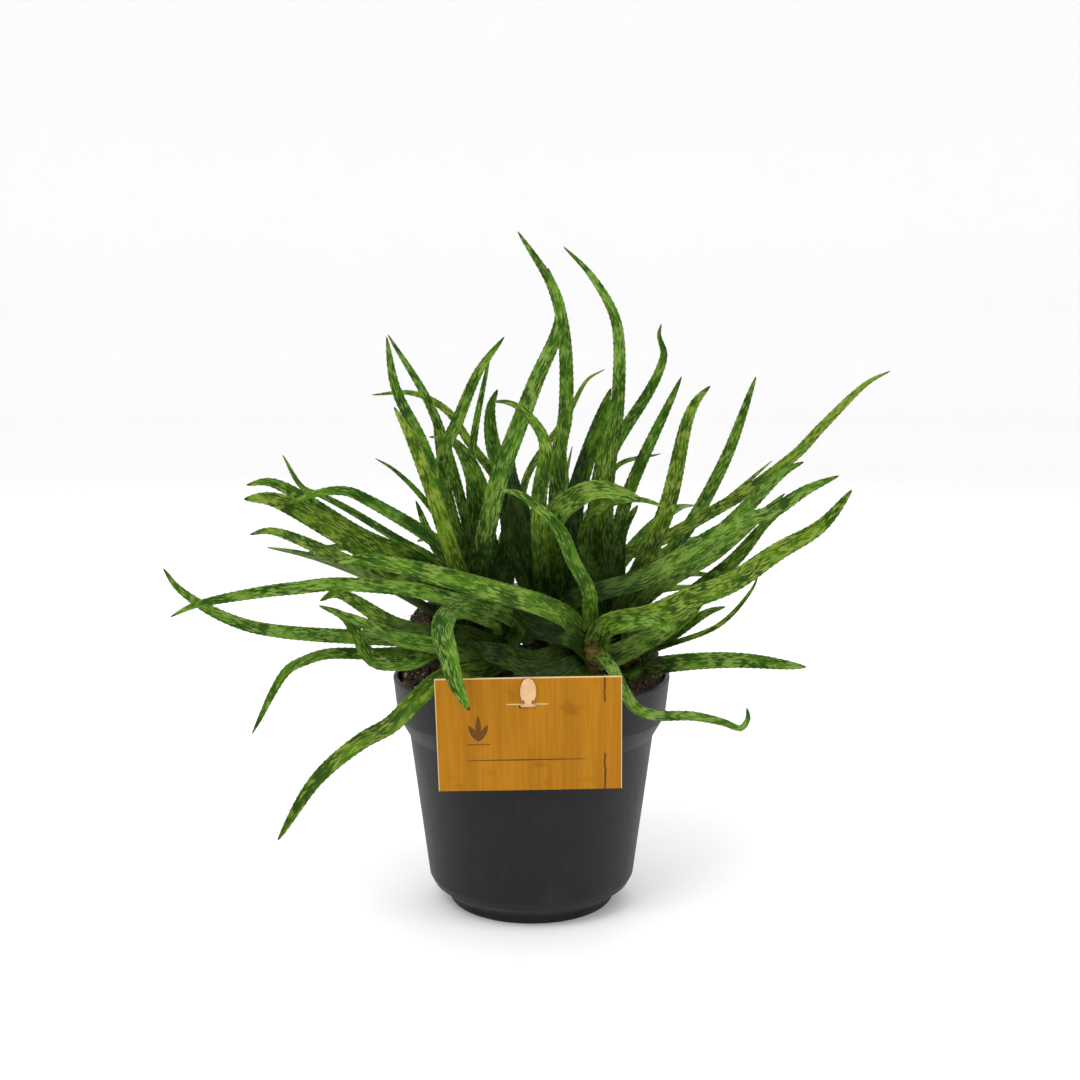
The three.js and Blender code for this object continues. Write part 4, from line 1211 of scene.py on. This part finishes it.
class ALOE_OT_stage(bpy.types.Operator):
    """Lay the floor, hang the lights and set up the camera"""

    bl_idname = "aloe.stage"
    bl_label = "Stage"

    def execute(self, context):
        s = context.scene.aloe_stage
        self.floor(s)
        self.camera(context.scene)
        context.scene.view_settings.view_transform = "Standard"
        self.sky(context.scene, s)
        for name, (place, size) in LIGHTS.items():
            self.light(name, place, size, s.key if name == "key" else s.fill)
        return {"FINISHED"}

    def floor(self, s):
        bm = bmesh.new()
        spun(bm, STAGE_OUTLINE, 96)
        floor = add_object("floor", bm, [floor_material(s)], unit=1)
        floor.data.flip_normals()

    def camera(self, scene):
        data = bpy.data.cameras.new("camera")
        data.sensor_width = 36
        data.sensor_fit = "HORIZONTAL"
        data.lens = data.sensor_width * VIEW_DISTANCE / FRAME_WIDTH
        data.shift_x = AXIS_OFF / FRAME_WIDTH
        camera = bpy.data.objects.new("camera", data)
        camera.location = (0, -VIEW_DISTANCE * MM, VIEW_HEIGHT * MM)
        camera.rotation_euler = (math.pi / 2 - VIEW_TILT, 0, 0)
        scene.collection.objects.link(camera)
        scene.camera = camera

    def sky(self, scene, s):
        world = bpy.data.worlds.new("sky")
        world.use_nodes = True
        background = world.node_tree.nodes["Background"].inputs
        background["Color"].default_value = (1, 1, 1, 1)
        background["Strength"].default_value = s.sky
        scene.world = world

    def light(self, name, place, size, power):
        data = bpy.data.lights.new(name, "AREA")
        data.size = size
        data.energy = power
        light = bpy.data.objects.new(name, data)
        light.location = place
        light.rotation_euler = (LIT_PLACE - Vector(place)).to_track_quat("-Z", "Y").to_euler()
        bpy.context.scene.collection.objects.link(light)


class ALOE_PT_panel(bpy.types.Panel):
    """The pieces of the plant"""

    bl_label = "Potted aloe"
    bl_space_type = "VIEW_3D"
    bl_region_type = "UI"
    bl_category = "Aloe"

    def draw(self, context):
        for operator in OPERATORS:
            self.layout.operator(operator.bl_idname)
        for name in SETTINGS:
            box = self.layout.box()
            group = getattr(context.scene, name)
            for key in group.__annotations__:
                box.prop(group, key)


OPERATORS = (ALOE_OT_stage, ALOE_OT_pot, ALOE_OT_soil, ALOE_OT_shoots, ALOE_OT_label)
SETTINGS = {
    "aloe_leaves": AloeLeafSettings,
    "aloe_pot": AloePotSettings,
    "aloe_soil": AloeSoilSettings,
    "aloe_label": AloeLabelSettings,
    "aloe_stage": AloeStageSettings,
}


def register():
    for kind in (*SETTINGS.values(), *OPERATORS, ALOE_PT_panel):
        bpy.utils.register_class(kind)
    for name, kind in SETTINGS.items():
        setattr(bpy.types.Scene, name, PointerProperty(type=kind))


def unregister():
    for name in SETTINGS:
        delattr(bpy.types.Scene, name)
    for kind in (ALOE_PT_panel, *reversed(OPERATORS), *reversed(SETTINGS.values())):
        bpy.utils.unregister_class(kind)


def main():
    register()
    bpy.ops.aloe.stage()
    bpy.ops.aloe.pot()
    bpy.ops.aloe.soil()
    bpy.ops.aloe.shoots()
    bpy.ops.aloe.label()


if __name__ == "__main__":
    main()
